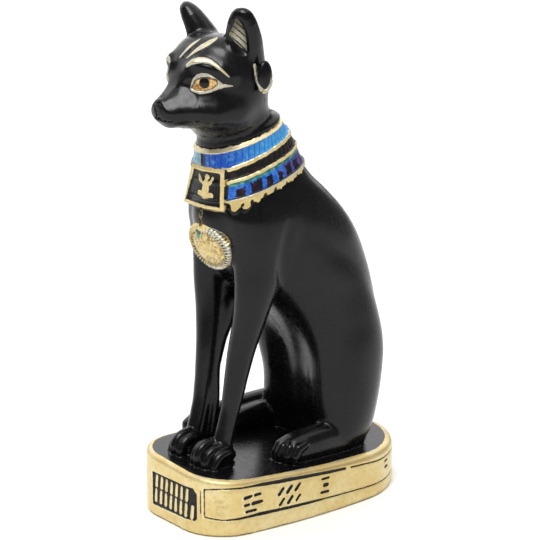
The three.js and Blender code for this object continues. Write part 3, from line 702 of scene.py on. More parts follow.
def cat(p, fine=True):
    q = p.copy()
    q[:, 0] = np.abs(q[:, 0])
    d = trunk(p)
    m = (p[:, 2] > 88) & (p[:, 2] < 124) & (np.abs(d) < 3)
    if m.any():
        d[m] = collar(p[m], d[m], fine)
    d = smin(d, where_near(p, (-11.5, -29, 91), (10, -17, 106), lambda s: plate(s, fine)), 0.35)
    d = smin(d, where_near(p, (-11, -30, 72), (11, -17, 91), lambda s: pendant(s, fine)), 0.3)
    if fine:
        d = smin(d, where_near(p, (-2, -30, 87), (2, -26, 93), lambda s: chain(s, [(*b[:3], b[3]) for b in BEADS])), 0.15)
    # the far thigh swells further forward
    q2 = q.copy()
    shift = swell(39 - p[:, 2], 9) * swell(p[:, 2] - 69, 9)
    q2[:, 1] += np.where(p[:, 0] < 0, 2.7 * shift * np.clip((14 - p[:, 1]) / 10, 0, 1), 0) * np.clip(-p[:, 0] / 4, 0, 1)
    d = smin(d, where_near(q2, (2, -14, 12), (22, 34, 92), lambda s: upright(S_HAUNCH, s)), 4.0)
    d = smin(d, where_near(q, (2, -32, 14), (18, 2, 99), lambda s: upright(S_FORELEG, s)), 2.4)
    d = smax(d, -where_near(q, (13, -12, 67), (20, -8, 88), lambda s: chain(s, CREASE)), 1.4)
    d = smin(d, where_near(p, (-12, -26, 22), (-2, -10, 66), lambda s: chain(s, WEB)), 1.2)
    d = smin(d, where_near(q, (1, -37, 14), (13, -19, 27), lambda s: lying(S_FOREPAW, s, 2.3)), 1.4)
    d = smin(d, where_near(q, (8, -12, 12), (20, 24, 26), lambda s: lying(S_HINDFOOT, s, 2.3)), 1.2)
    m = (q[:, 0] < 14) & (q[:, 1] < -20) & (p[:, 2] < 29) & (p[:, 2] > 13) & (d < 8)
    if m.any():
        d[m] = toes(q[m], d[m], 0.3 if fine else 1.2)
    if fine:
        m = (q[:, 0] > 8) & (q[:, 1] < 0) & (q[:, 1] > -15) & (p[:, 2] < 26) & (p[:, 2] > 13) & (d < 5)
        if m.any():
            d[m] = hind_toes(q[m], d[m])
    d = smin(d, where_near(p, (-24, -25, 14), (2, 40, 28), lambda s: chain(s, P_TAIL)), 0.8)
    h = where_near(q, (-1, -46, 114), (16, -5, 144), face, 10.0)
    if fine:
        m = (np.abs(h) < 2) & (p[:, 1] < -22) & (p[:, 2] > 124)
        if m.any():
            h[m] -= face_relief(p[m])
    h = smin(h, where_near(q, (2, -30, 132), (19, -10, 151), ear), 1.6)
    h = smin(h, where_near(q, (13, -21, 125), (18, -13, 137), lobe), 0.15)
    rise = np.clip((p[:, 2] - 118.9 - 0.327 * p[:, 1]) / 4, 0, 1)
    k = 1.0 + (5.0 + 1.0 * np.clip((p[:, 1] + 30) / 14, 0, 1)) * rise
    return smin(d, h, k)


def solid(p, fine=True):
    return smin(cat(p, fine), plinth(p, fine), 0.6)
# --- shape ends


# ======================================================================== mesh
# --- mesh begins
def field(f, p, **kw):
    """f over many points, in pieces that fit in memory."""
    out = np.empty(len(p))
    for i in range(0, len(p), 60000):
        out[i : i + 60000] = f(p[i : i + 60000], **kw)
    return out


TETRA = np.array([[1, -1, -1], [-1, -1, 1], [-1, 1, -1], [1, 1, 1]], float)


def gradient(f, p, h=0.05, **kw):
    g = np.zeros_like(p)
    for k in TETRA:
        g += k * field(f, p + h * k, **kw)[:, None]
    return g / (4 * h)


def settle(f, p, steps=3, reach=0.8, h=0.05, **kw):
    """Moves points along the field's gradient onto its surface."""
    for _ in range(steps):
        d = field(f, p, **kw)
        g = gradient(f, p, h, **kw)
        g2 = np.maximum((g * g).sum(1), 0.05)
        move = -(d / g2)[:, None] * g
        far = np.linalg.norm(move, axis=1)
        move *= np.minimum(1, reach / np.maximum(far, 1e-9))[:, None]
        p = p + move
    return p


def surface_nets(f, lo, hi, h, **kw):
    """A closed quad surface of f's zero level on a regular grid."""
    lo, hi = np.asarray(lo, float), np.asarray(hi, float)
    n = np.ceil((hi - lo) / h).astype(int) + 1
    ax = [lo[k] + h * np.arange(n[k]) for k in range(3)]
    grid = np.stack(np.meshgrid(*ax, indexing="ij"), -1)
    v = field(f, grid.reshape(-1, 3), **kw).reshape(n)
    inside = v < 0
    cells = np.array(n) - 1
    ncell = int(np.prod(cells))
    total, count = np.zeros((ncell, 3)), np.zeros(ncell)
    quads = []
    for a in range(3):
        b, c = (a + 1) % 3, (a + 2) % 3
        low = [slice(None)] * 3
        high = [slice(None)] * 3
        low[a], high[a] = slice(0, -1), slice(1, None)
        i0, i1 = inside[tuple(low)], inside[tuple(high)]
        e = np.argwhere(i0 != i1)
        e = e[(e[:, b] > 0) & (e[:, c] > 0) & (e[:, b] < n[b] - 1) & (e[:, c] < n[c] - 1)]
        other = e.copy()
        other[:, a] += 1
        v0, v1 = v[tuple(e.T)], v[tuple(other.T)]
        t = v0 / (v0 - v1)
        at = lo + h * e
        at[:, a] += h * t
        ring = []
        for sb, sc in ((1, 1), (0, 1), (0, 0), (1, 0)):
            cell = e.copy()
            cell[:, b] -= sb
            cell[:, c] -= sc
            k = np.ravel_multi_index(tuple(cell.T), cells)
            for j in range(3):
                total[:, j] += np.bincount(k, at[:, j], ncell)
            count += np.bincount(k, minlength=ncell)
            ring.append(k)
        ring = np.stack(ring, 1)
        flip = ~inside[tuple(e.T)]
        ring[flip] = ring[flip][:, ::-1]
        quads.append(ring)
    quads = np.concatenate(quads)
    used = np.flatnonzero(count)
    place = np.full(ncell, -1)
    place[used] = np.arange(len(used))
    return total[used] / count[used][:, None], place[quads]


def triangles(p, quads):
    """Splits quads along the shorter diagonal."""
    a, b, c, d = quads.T
    short = np.linalg.norm(p[a] - p[c], axis=1) <= np.linalg.norm(p[b] - p[d], axis=1)
    t1 = np.where(short[:, None], np.stack([a, b, c], 1), np.stack([a, b, d], 1))
    t2 = np.where(short[:, None], np.stack([a, c, d], 1), np.stack([b, c, d], 1))
    return np.concatenate([t1, t2])


def edges_of(tri):
    e = np.sort(np.concatenate([tri[:, [0, 1]], tri[:, [1, 2]], tri[:, [2, 0]]]), 1)
    u, back = np.unique(e[:, 0] * (tri.max() + 1) + e[:, 1], return_inverse=True)
    m = tri.max() + 1
    return np.stack([u // m, u % m], 1), back.reshape(3, -1).T


def split(p, tri, long):
    """Splits the edges that long marks, and the triangles beside them."""
    e, te = edges_of(tri)
    mark = long(p, e)
    new = np.full(len(e), -1)
    k = np.flatnonzero(mark)
    new[k] = len(p) + np.arange(len(k))
    p = np.concatenate([p, (p[e[k, 0]] + p[e[k, 1]]) / 2])
    m = new[te]  # on edges 01, 12, 20
    n = (m >= 0).sum(1)
    out = [tri[n == 0]]
    for r in range(3):  # one split edge, turned to be edge 01
        s = (n == 1) & (m[:, r] >= 0)
        t, x = np.roll(tri[s], -r, 1), m[s, r]
        out += [np.stack([t[:, 0], x, t[:, 2]], 1), np.stack([x, t[:, 1], t[:, 2]], 1)]
        s = (n == 2) & (m[:, r] < 0)  # the whole edge, turned to be edge 01
        t = np.roll(tri[s], -r, 1)
        y, z = m[s, (r + 1) % 3], m[s, (r + 2) % 3]  # on edges 12 and 20
        cut = np.linalg.norm(p[t[:, 0]] - p[y], axis=1) <= np.linalg.norm(p[t[:, 1]] - p[z], axis=1)
        out += [np.stack([z, y, t[:, 2]], 1)]
        c = cut[:, None]
        out += [np.where(c, np.stack([t[:, 0], t[:, 1], y], 1), np.stack([t[:, 0], t[:, 1], z], 1))]
        out += [np.where(c, np.stack([t[:, 0], y, z], 1), np.stack([t[:, 1], y, z], 1))]
    s = n == 3
    t, x = tri[s], m[s]
    out += [
        np.stack([t[:, 0], x[:, 0], x[:, 2]], 1),
        np.stack([x[:, 0], t[:, 1], x[:, 1]], 1),
        np.stack([x[:, 2], x[:, 1], t[:, 2]], 1),
        x,
    ]
    return p, np.concatenate(out), len(k)


def relax(p, tri, amount=0.5):
    """Moves each vertex part of the way to the middle of its neighbours, along the surface."""
    e, _ = edges_of(tri)
    total, count = np.zeros_like(p), np.zeros(len(p))
    for i, j in ((0, 1), (1, 0)):
        count += np.bincount(e[:, i], minlength=len(p))
        for k in range(3):
            total[:, k] += np.bincount(e[:, i], p[e[:, j], k], len(p))
    n = vertex_normals(p, tri)
    move = total / np.maximum(count, 1)[:, None] - p
    move -= (move * n).sum(1)[:, None] * n
    return p + amount * move


def vertex_normals(p, tri):
    f = np.cross(p[tri[:, 1]] - p[tri[:, 0]], p[tri[:, 2]] - p[tri[:, 0]])
    n = np.zeros_like(p)
    for i in range(3):
        for k in range(3):
            n[:, k] += np.bincount(tri[:, i], f[:, k], len(p))
    return n / np.maximum(np.linalg.norm(n, axis=1), 1e-12)[:, None]


def flip_edges(p, tri, rounds=2):
    """Turns edges whose two triangles are better shaped the other way."""
    for _ in range(rounds):
        e, te = edges_of(tri)
        order = np.argsort(te.ravel(), kind="stable")
        pair = order.reshape(-1, 2)  # every edge has exactly two triangles
        ta, ra = pair[:, 0] // 3, pair[:, 0] % 3
        tb, rb = pair[:, 1] // 3, pair[:, 1] % 3
        a, b = tri[ta, ra], tri[ta, (ra + 1) % 3]
        c, d = tri[ta, (ra + 2) % 3], tri[tb, (rb + 2) % 3]

        def worst(i, j, k):
            x, y, z = p[j] - p[i], p[k] - p[j], p[i] - p[k]
            area = np.linalg.norm(np.cross(x, -z), axis=1)
            return area / ((x * x).sum(1) + (y * y).sum(1) + (z * z).sum(1) + 1e-12)

        now = np.minimum(worst(a, b, c), worst(b, a, d))
        then = np.minimum(worst(c, d, b), worst(d, c, a))
        n1 = np.cross(p[b] - p[a], p[c] - p[a])
        n2 = np.cross(p[a] - p[b], p[d] - p[b])
        m1 = np.cross(p[d] - p[c], p[b] - p[c])
        m2 = np.cross(p[c] - p[d], p[a] - p[d])
        ref = n1 + n2
        flat = (n1 * n2).sum(1) > 0.85 * np.linalg.norm(n1, axis=1) * np.linalg.norm(n2, axis=1)
        good = flat & (then > now * 1.12) & ((m1 * ref).sum(1) > 0) & ((m2 * ref).sum(1) > 0)
        lo, hi = np.minimum(c, d), np.maximum(c, d)
        m = tri.max() + 1
        good &= ~np.isin(lo * m + hi, e[:, 0] * m + e[:, 1])
        k = np.flatnonzero(good)
        k = k[np.argsort(-(then - now)[k], kind="stable")]
        busy = np.zeros(len(tri), bool)
        first = np.full(len(tri), len(k))
        np.minimum.at(first, ta[k], np.arange(len(k)))
        np.minimum.at(first, tb[k], np.arange(len(k)))
        rank = np.arange(len(k))
        k2 = k[(first[ta[k]] == rank) & (first[tb[k]] == rank)]
        tri = tri.copy()
        tri[ta[k2]] = np.stack([c[k2], d[k2], b[k2]], 1)
        tri[tb[k2]] = np.stack([d[k2], c[k2], a[k2]], 1)
    return tri


def size(p):
    """Edge length asked for at a point on the surface."""
    x, y, z = p.T
    ax = np.abs(x)
    out = np.full(len(p), 1.5)

    def ask(where, value):
        out[where] = np.minimum(out[where], value)

    ask((z > 116) & (y < -8), 0.9)
    ask((z > 116) & (z < 142) & (y < -22), 0.62)
    s = np.abs(face_arc(p))
    near = (z > 125) & (z < 142.5) & (y < -22)
    ask(near & (s > 2.5) & (s < 18) & (z < 138), 0.42)
    lines = np.full(len(p), 9.0)
    m = near
    if m.any():
        q = p[m]
        a = np.abs(face_arc(q))
        t = np.minimum(line(a, q[:, 2], BROW_LINE), np.abs(polygon(a, q[:, 2], EYE_RING)))
        t = np.minimum(t, polygon(a, q[:, 2], EYE_BALL))
        for st in STRIPES:
            t = np.minimum(t, line(face_arc(q), q[:, 2], st))
        lines[m] = t
    ask(lines < 0.5, 0.27)
    ask((y < -38) & (z > 112), 0.4)
    ask((z > 131) & (y < -14) & (ax > 4), 0.75)
    ask((z > 136) & (z < 149) & (y < -19.5) & (ax > 5), 0.36)
    ask((z > 125) & (z < 136) & (ax > 13) & (y > -21) & (y < -13), 0.36)
    r = rows_at(p)
    ask((r[0] < 1.6) & (r[4] > -1.6) & (z < 122) & (z > 86), 0.36)
    ask((ax < 11.4) & (y < -22) & (z > 91.8) & (z < 105.4), 0.3)
    ask((ax < 10.6) & (y < -20) & (z > 72) & (z < 90), 0.36)
    ask((ax < 2) & (y < -25) & (z > 86) & (z < 93), 0.3)
    ask((z < 28) & (z > 15.5) & (y < -25.5) & (ax < 13) & (ax > 1), 0.4)
    ask((z < 24) & (y < -4) & (y > -14) & (ax > 9), 0.6)
    side = plinth_side(p)
    low = (z < 17.5) & (side > -2.6)
    ask(low, 0.85)
    m = low & (z < 15.4) & (side > -1.2) & (z > 2)
    if m.any():
        q = p[m]
        a, zz = around(q), q[:, 2]
        t = np.full(len(q), 9.0)
        for rows in FRAME_LINES:
            t = np.minimum(t, line(a, zz, rows))
        for st in STROKES:
            t = np.minimum(t, line(a, zz, [[st[0], st[1], st[4]], [st[2], st[3], st[4]]]))
        t = np.minimum(t, np.where(q[:, 1] < -30, panel_area(q), 9.0))
        want = np.where(t < 0.75, 0.36, 0.85)
        out[m] = np.minimum(out[m], want)
    ask((z < 30) & (z > 12), 1.0)
    return out


def clean(quads):
    """Whether every edge of the quads lies between exactly two of them."""
    e = np.sort(np.concatenate([quads[:, [k, (k + 1) % 4]] for k in range(4)]), 1)
    m = int(quads.max()) + 1
    _, n = np.unique(e[:, 0].astype(np.int64) * m + e[:, 1], return_counts=True)
    return bool((n == 2).all())


def build(h0=1.25, passes=5):
    """The whole surface: a coarse closed mesh, split where size asks for short edges."""
    for k in range(8):
        shift = 0.17 * k
        lo, hi = (-26 - shift, -47 - 0.7 * shift, -2 - 0.4 * shift), (26, 44, 153)
        p, quads = surface_nets(solid, lo, hi, h0 + 0.01 * k, fine=False)
        if clean(quads):
            break
    p = settle(solid, p, 3, fine=False)
    tri = triangles(p, quads)
    for _ in range(2):
        p = settle(solid, relax(p, tri), 2, fine=False)
        tri = flip_edges(p, tri)
    for k in range(passes):

        def long(p, e):
            mid = (p[e[:, 0]] + p[e[:, 1]]) / 2
            return np.linalg.norm(p[e[:, 0]] - p[e[:, 1]], axis=1) > 1.46 * size(mid)

        p, tri, n = split(p, tri, long)
        if not n:
            break
        p = settle(solid, p, 2, reach=0.5)
        tri = flip_edges(p, tri)
        p = settle(solid, relax(p, tri, 0.35), 2, reach=0.4)
    return p, tri
# --- mesh ends


# ====================================================================== paint
# --- paint begins
def both(*ds):
    """Where all the regions meet."""
    out = ds[0]
    for d in ds[1:]:
        out = np.maximum(out, d)
    return out


def either(*ds):
    out = ds[0]
    for d in ds[1:]:
        out = np.minimum(out, d)
    return out


def paints(p, n):
    """Signed distance in mm from each painted region's edge, negative inside it,
    at points p on the surface whose outward normals are n."""
    x, y, z = p.T
    ax = np.abs(x)
    N = len(p)
    out = {}
    far = np.full(N, 9.0)
    r = rows_at(p)
    neck = trunk(p)
    on_neck = np.maximum(np.abs(neck - 0.3) - 1.6, np.maximum(z - 123, 86 - z))
    facing, outer, inner = plate_frame(p)
    on_plate = both(outer - 0.15, np.abs(facing) - 1.6, -y - 30, y + 16)
    pu, pw, pn = pendant_frame(p)
    ring = section(pu, pw, PENDANT["half"][0], PENDANT["half"][1], 2.0)
    on_pend = both(ring - 0.35, -pn - 4.2, pn - 4, y + 16, 70 - z)
    off_plate = -np.maximum(outer - 0.25, np.abs(facing) - 4)
    arc = collar_arc(p)
    wob = 0.08 * np.sin(arc * 2.3) + 0.06 * np.sin(arc * 5.1 + 1)

    # plinth
    side = plinth_side(p)
    edge = -1.5 - 0.35 * np.clip((-26 - y) / 8, 0, 1) - 0.15 * np.clip((y + 30) / 25, 0, 1) - 0.45 * np.clip(y / 15, 0, 1)
    plinth_gold = both(edge - side, z - top_at(x, y) - 0.6)
    # where the cat stands over the edge it stays black
    body = field(cat, p, fine=False)
    plinth_gold = np.maximum(plinth_gold, 0.45 - body)

    rims = np.minimum(np.abs(r[0] + 0.05) - 0.62 - wob, np.abs(r[1]) - 0.86 + wob)
    third = np.abs(r[2]) - 0.66 - wob
    low = np.maximum(r[3] + 0.05, -low_edge(p, r[4]) * -1 - 0.1)
    wide = np.maximum(r[3] + 0.05, low_edge(p, r[4]) - 0.12)
    collar_gold = both(either(rims, third, wide), on_neck, off_plate)
    wall = np.where(np.minimum(np.abs(r[2]) - 0.8, np.abs(r[4] - 0.3) - 0.8) < 0, -1.0, (np.abs(n[:, 0]) - 0.8) * 2)
    frame_gold = both(on_plate, -np.maximum(inner - 0.05, -9), wall)
    fig = both(figure(p) - 0.1, inner, on_plate)
    dome = section(pu, pw, PENDANT["half"][0] - 1.6, PENDANT["half"][1] - 1.6, 2.0)
    pend_gold = both(on_pend, dome)
    out["gold"] = either(plinth_gold, collar_gold, frame_gold, fig, pend_gold)

    # pale silver gold, with pale lines painted as highlights along the collar's wide band and the plinth's rim
    s, sa = face_arc(p), np.abs(face_arc(p))
    on_face = np.maximum(y + 21, 124 - z)
    brow = line(sa, z, BROW_LINE) + np.where(s < 0, 0.3 * np.clip((7.0 - sa) / 2.5, 0, 1), 0)
    lids = np.maximum(polygon(sa, z, EYE_RING), -polygon(sa, z, EYE_BALL))
    stripes = either(*[line(s, z, st) for st in STRIPES])
    ear_u = (ax - 10.2) * math.cos(EAR["turn"]) + (y + 20.3) * math.sin(EAR["turn"])
    ear_v = (ax - 10.2) * math.sin(EAR["turn"]) - (y + 20.3) * math.cos(EAR["turn"])
    ear_n = np.sign(x) * n[:, 0] * math.sin(EAR["turn"]) - n[:, 1] * math.cos(EAR["turn"])
    in_ear = both(-ear_v - 0.2, 0.25 - ear_n, 136 - z)
    patch = both(polygon(ear_u, z, EAR_PATCH), in_ear)
    q = p.copy()
    q[:, 0] = ax
    hoop = where_near(q, (13, -21, 125), (18, -13, 137), lambda t: chain(t, HOOP) - 0.12)
    # a pale line along the ridge at the top of the wide gold band: a painted highlight
    top_line = both(np.abs(r[3] + 0.25) - 0.22, on_neck, off_plate)
    # a thin wavy pale line just below the gold's top edge on the plinth: a painted highlight along the rim
    rim_painted_highlight = both(np.abs(side - edge - 0.35) - 0.14 + 0.16 * np.sin(around(p) * 0.37), z - top_at(x, y) - 0.6, 13 - z, 0.45 - body)
    bead = where_near(p, (-2, -30, 87), (2, -26, 93), lambda t: chain(t, BEADS) - 0.1)
    out["pale"] = either(both(either(brow, lids, stripes), on_face), patch, hoop, top_line, rim_painted_highlight)
    worn = -(0.5 * pu - 0.8 * pw + 3.6)
    out["silver"] = either(both(on_pend, -dome, worn), bead)
    pend_gold = either(pend_gold, both(on_pend, -worn))
    out["gold"] = either(out["gold"], pend_gold)

    # collar colours
    blue = both(r[0] + 0.5, -(r[1] - 0.55), on_neck, off_plate)
    teal = both(r[2] + 0.45, -(r[2] + 1.5), on_neck, off_plate)
    cobalt = both(r[2] + 1.35, -(r[3] - 0.1), on_neck, off_plate)
    dark = blocks(p)
    s_ = np.abs(arc)
    first = both(np.abs(s_ - 5.4) - 0.8, r[3] - 2.7)
    out["blue"] = blue
    out["cobalt"] = cobalt
    link = where_near(p, (-2, -30, 87), (2, -26, 93), lambda t: chain(t, BEADS[1:3]) + 0.1)
    out["teal"] = either(teal, link, both(polygon(pu, pw, [(-2.6, 2.6), (-1.0, 3.6), (-0.4, 5.4), (-2.0, 6.6), (-3.0, 4.4)]), on_pend), both(on_pend, -(ring + 1.2), pu + 1.0, pw + 1.5))
    out["maroon"] = both(dark, cobalt)
    out["black_band"] = both(r[1] + 0.55, -(r[2] - 0.45), on_neck, off_plate)

    # eyes
    ball = both(polygon(sa, z, EYE_BALL), on_face)
    out["iris"] = ball
    k = PUPIL
    out["pupil"] = both(np.hypot(sa - k[0], (z - k[1]) * 0.95) - k[2], on_face)

    # ink over gold
    arcp, zz = around(p), z
    frame = either(*[line(arcp, zz, rows) for rows in FRAME_LINES])
    strokes = either(*[line(arcp, zz, [[t[0], t[1], t[4]], [t[2], t[3], t[4] * 0.9]]) for t in STROKES if t[5]])
    faint = either(*[line(arcp, zz, [[t[0], t[1], t[4] * 0.3], [t[2], t[3], t[4] * 0.3]]) for t in STROKES if not t[5]])
    low_side = both(-side - 1.4, z - 15.6)
    panel = both(panel_area(p), -panel_marks(p) + 0.02, low_side)
    lash = both(np.abs(polygon(sa, z, EYE_BALL) - 0.12) - 0.13, on_face, 129.2 - z + 0.25 * (sa - 9))
    ear_lines = both(np.abs(np.mod(z + 0.95 * ear_u, 1.95) - 0.97) * 0.72 - 0.2, patch)
    gap = both(np.abs(arc - 0.1) - 0.6, blue)
    out["pale_blue"] = both(np.abs(arc + 2.6) - 2.1, blue)
    stub = both(first, cobalt)
    out["dome"] = both(on_pend, dome + 0.3)
    out["ink"] = either(both(either(frame - 0.02, strokes - 0.05, faint), low_side), panel, lash, ear_lines, gap, stub)
    return out, np.abs(arc)
# --- paint ends


verts, tris = build(passes=5)
normals = gradient(solid, verts, 0.035)
normals /= np.maximum(np.linalg.norm(normals, axis=1), 1e-9)[:, None]
# how hollow the surface is at each vertex: nearness of the walls just outside it; the material uses it to paint shade
# into the hollows and a highlight onto the gold's high spots
hollow = 0.45 - field(solid, verts + 0.45 * normals)
regions, along_collar = paints(verts, normals)

mesh = bpy.data.meshes.new("bastet_cat")
mesh.vertices.add(len(verts))
mesh.vertices.foreach_set("co", (verts * 0.001).astype(np.float32).ravel())
mesh.loops.add(len(tris) * 3)
mesh.loops.foreach_set("vertex_index", tris.astype(np.int32).ravel())
mesh.polygons.add(len(tris))
mesh.polygons.foreach_set("loop_start", np.arange(0, len(tris) * 3, 3, dtype=np.int32))
mesh.polygons.foreach_set("loop_total", np.full(len(tris), 3, dtype=np.int32))
mesh.update(calc_edges=True)
mesh.validate()
mesh.polygons.foreach_set("use_smooth", np.ones(len(mesh.polygons), dtype=bool))
for name, value in {**regions, "hollow": hollow, "arc": along_collar}.items():
    a = mesh.attributes.new(name, "FLOAT", "POINT")
    a.data.foreach_set("value", np.clip(value, -50, 50).astype(np.float32))
mesh.normals_split_custom_set_from_vertices(normals.astype(np.float32).tolist())
cat_piece = bpy.data.objects.new("painted_cat", mesh)
bpy.context.scene.collection.objects.link(cat_piece)


# =================================================================== materials
class Graph:
    """Short names for building a material's nodes."""

    def __init__(self, mat):
        self.tree = mat.node_tree
        self.nodes, self.links = mat.node_tree.nodes, mat.node_tree.links

    def add(self, kind, **settings):
        node = self.nodes.new(kind)
        for k, v in settings.items():
            setattr(node, k, v)
        return node

    def put(self, socket, value):
        if isinstance(value, bpy.types.NodeSocket):
            self.links.new(value, socket)
        else:
            socket.default_value = value

    def math(self, op, a, b=0.0, c=None, clamp=False):
        node = self.add("ShaderNodeMath", operation=op, use_clamp=clamp)
        self.put(node.inputs[0], a)
        self.put(node.inputs[1], b)
        if c is not None:
            self.put(node.inputs[2], c)
        return node.outputs[0]

    def ramp(self, value, lo, hi, to_lo=0.0, to_hi=1.0, smooth=True):
        node = self.add("ShaderNodeMapRange")
        node.interpolation_type = "SMOOTHSTEP" if smooth else "LINEAR"
        self.put(node.inputs["Value"], value)
        self.put(node.inputs["From Min"], lo)
        self.put(node.inputs["From Max"], hi)
        self.put(node.inputs["To Min"], to_lo)
        self.put(node.inputs["To Max"], to_hi)
        return node.outputs["Result"]

    def mix(self, fac, a, b):
        node = self.add("ShaderNodeMix", data_type="RGBA")
        self.put(node.inputs[0], fac)
        self.put(node.inputs[6], a)
        self.put(node.inputs[7], b)
        return node.outputs[2]

    def blend(self, fac, a, b):
        node = self.add("ShaderNodeMix", data_type="FLOAT")
        self.put(node.inputs[0], fac)
        self.put(node.inputs[2], a)
        self.put(node.inputs[3], b)
        return node.outputs[0]

    def noise(self, at, scale, detail=3.0, rough=0.55, warp=0.0):
        node = self.add("ShaderNodeTexNoise")
        self.put(node.inputs["Vector"], at)
        self.put(node.inputs["Scale"], scale)
        self.put(node.inputs["Detail"], detail)
        self.put(node.inputs["Roughness"], rough)
        self.put(node.inputs["Distortion"], warp)
        return node.outputs["Fac"]

    def attribute(self, name):
        return self.add("ShaderNodeAttribute", attribute_name=name).outputs["Fac"]


def rgb(r, g, b):
    """An sRGB colour, 0 to 255, as linear RGBA."""
    def lin(v):
        v /= 255
        return v / 12.92 if v <= 0.04045 else ((v + 0.055) / 1.055) ** 2.4
    return (lin(r), lin(g), lin(b), 1.0)


def painted_resin():
    mat = bpy.data.materials.new("painted_resin")
    mat.use_nodes = True
    g = Graph(mat)
    g.nodes.clear()
    out = g.add("ShaderNodeOutputMaterial")
    shader = g.add("ShaderNodeBsdfPrincipled")
    g.links.new(shader.outputs[0], out.inputs[0])
    place = g.add("ShaderNodeTexCoord").outputs["Object"]  # metres

    fine = g.noise(place, 2600, 3, 0.6)
    mid = g.noise(place, 700, 4, 0.55)
    broad = g.noise(place, 110, 4, 0.5, 0.4)
    speck = g.noise(place, 5200, 1, 0.5)
    drift = g.math("ADD", g.math("MULTIPLY", g.math("SUBTRACT", fine, 0.5), 0.26), g.math("MULTIPLY", g.math("SUBTRACT", mid, 0.5), 0.42))

    def mask(name, soft=0.07, wobble=1.0, shift=0.0):
        d = g.math("ADD", g.attribute(name), g.math("MULTIPLY", drift, wobble))
        return g.ramp(g.math("ADD", d, shift), -soft, soft, 1.0, 0.0)

    hollow_in = g.attribute("hollow")
    arc = g.attribute("arc")

    # black resin: near black, a little uneven, faintly dusty in places
    black = g.mix(g.ramp(broad, 0.35, 0.7), rgb(8, 8, 10), rgb(14, 14, 16))
    black = g.mix(g.math("MULTIPLY", g.ramp(speck, 0.735, 0.8), 0.35), black, rgb(90, 90, 94))
    color, metal = black, 0.0
    rough = g.blend(g.ramp(mid, 0.3, 0.72), 0.2, 0.3)

    def paint(name, tint, metallic, roughness, **kw):
        nonlocal color, metal, rough
        m = mask(name, **kw)
        color = g.mix(m, color, tint)
        metal = g.blend(m, metal, metallic)
        rough = g.blend(m, rough, roughness)
        return m

    # gold paint, darker and browner in the hollows as painted shade, and pale on the high spots as a painted highlight
    gold = g.mix(g.ramp(broad, 0.35, 0.68), rgb(222, 197, 132), rgb(231, 214, 160))
    gold = g.mix(g.math("MULTIPLY", g.ramp(mid, 0.45, 0.75), 0.5), gold, rgb(209, 177, 104))
    # painted shade: the gold turns dark brown where the surface is hollow
    gold = g.mix(g.ramp(hollow_in, 0.05, 0.26, 0.0, 0.85), gold, rgb(84, 56, 22))
    # painted highlight: the gold turns near white on the convex high spots
    gold = g.mix(g.ramp(hollow_in, -0.03, -0.14, 0.0, 0.55), gold, rgb(250, 240, 208))
    vein = g.math("ABSOLUTE", g.math("SUBTRACT", g.noise(place, 520, 2, 0.5, 1.6), 0.5))
    vein = g.math("MULTIPLY", g.ramp(vein, 0.018, 0.05, 1.0, 0.0), mask("dome", wobble=0.0))
    gold = g.mix(g.math("MULTIPLY", vein, 0.75), gold, rgb(112, 80, 34))
    m_gold = paint("gold", gold, 0.35, g.blend(mid, 0.26, 0.42))

    cobalt_c = g.mix(g.ramp(mid, 0.4, 0.65), rgb(34, 88, 186), rgb(66, 128, 214))
    cobalt_c = g.mix(g.ramp(arc, 15.0, 26.0, 0.0, 0.75), cobalt_c, rgb(74, 40, 92))
    # painted shade: the cobalt darkens in the hollows beside the rims
    cobalt_c = g.mix(g.ramp(hollow_in, 0.04, 0.22, 0.0, 0.8), cobalt_c, rgb(8, 18, 52))
    m = paint("cobalt", cobalt_c, 0.0, 0.3)
    paint("maroon", g.mix(g.ramp(mid, 0.48, 0.7), rgb(20, 20, 32), rgb(74, 34, 44)), 0.0, 0.34, wobble=3.8, shift=-0.12)
    blue_c = g.mix(g.ramp(arc, 4.0, 17.0), rgb(36, 84, 184), rgb(62, 150, 214))
    blue_c = g.mix(g.ramp(mid, 0.46, 0.7, 0.0, 0.5), blue_c, rgb(110, 182, 226))
    lines = g.math("ABSOLUTE", g.math("SUBTRACT", g.math("FRACT", g.math("DIVIDE", arc, 1.35)), 0.5))
    blue_c = g.mix(g.ramp(lines, 0.13, 0.03, 0.0, 0.55), blue_c, rgb(16, 44, 110))
    # painted shade: the blue darkens in the hollows beside the rims
    blue_c = g.mix(g.ramp(hollow_in, 0.04, 0.22, 0.0, 0.8), blue_c, rgb(8, 22, 60))
    paint("blue", blue_c, 0.0, 0.28)
    paint("pale_blue", g.mix(g.ramp(mid, 0.35, 0.6), rgb(98, 158, 188), rgb(170, 200, 206)), 0.0, 0.3)
    paint("teal", g.mix(g.ramp(mid, 0.35, 0.65), rgb(30, 98, 100), rgb(98, 160, 150)), 0.0, 0.32)
    band = g.mix(g.ramp(mid, 0.5, 0.72, 0.0, 0.5), rgb(24, 22, 24), rgb(74, 44, 40))
    paint("black_band", band, 0.0, 0.3)

    # painted shade: the silver goes dark brown in the hollows between the ribs
    silver = g.mix(g.ramp(hollow_in, 0.0, 0.12), rgb(212, 212, 196), rgb(70, 68, 58))
    silver = g.mix(g.ramp(mid, 0.44, 0.6, 0.0, 0.7), silver, rgb(196, 172, 118))
    m_silver = paint("silver", silver, 0.6, 0.3)
    pale = g.mix(g.ramp(fine, 0.4, 0.66), rgb(184, 180, 158), rgb(206, 204, 192))
    pale = g.mix(g.ramp(mid, 0.5, 0.68, 0.0, 0.8), pale, rgb(214, 186, 120))
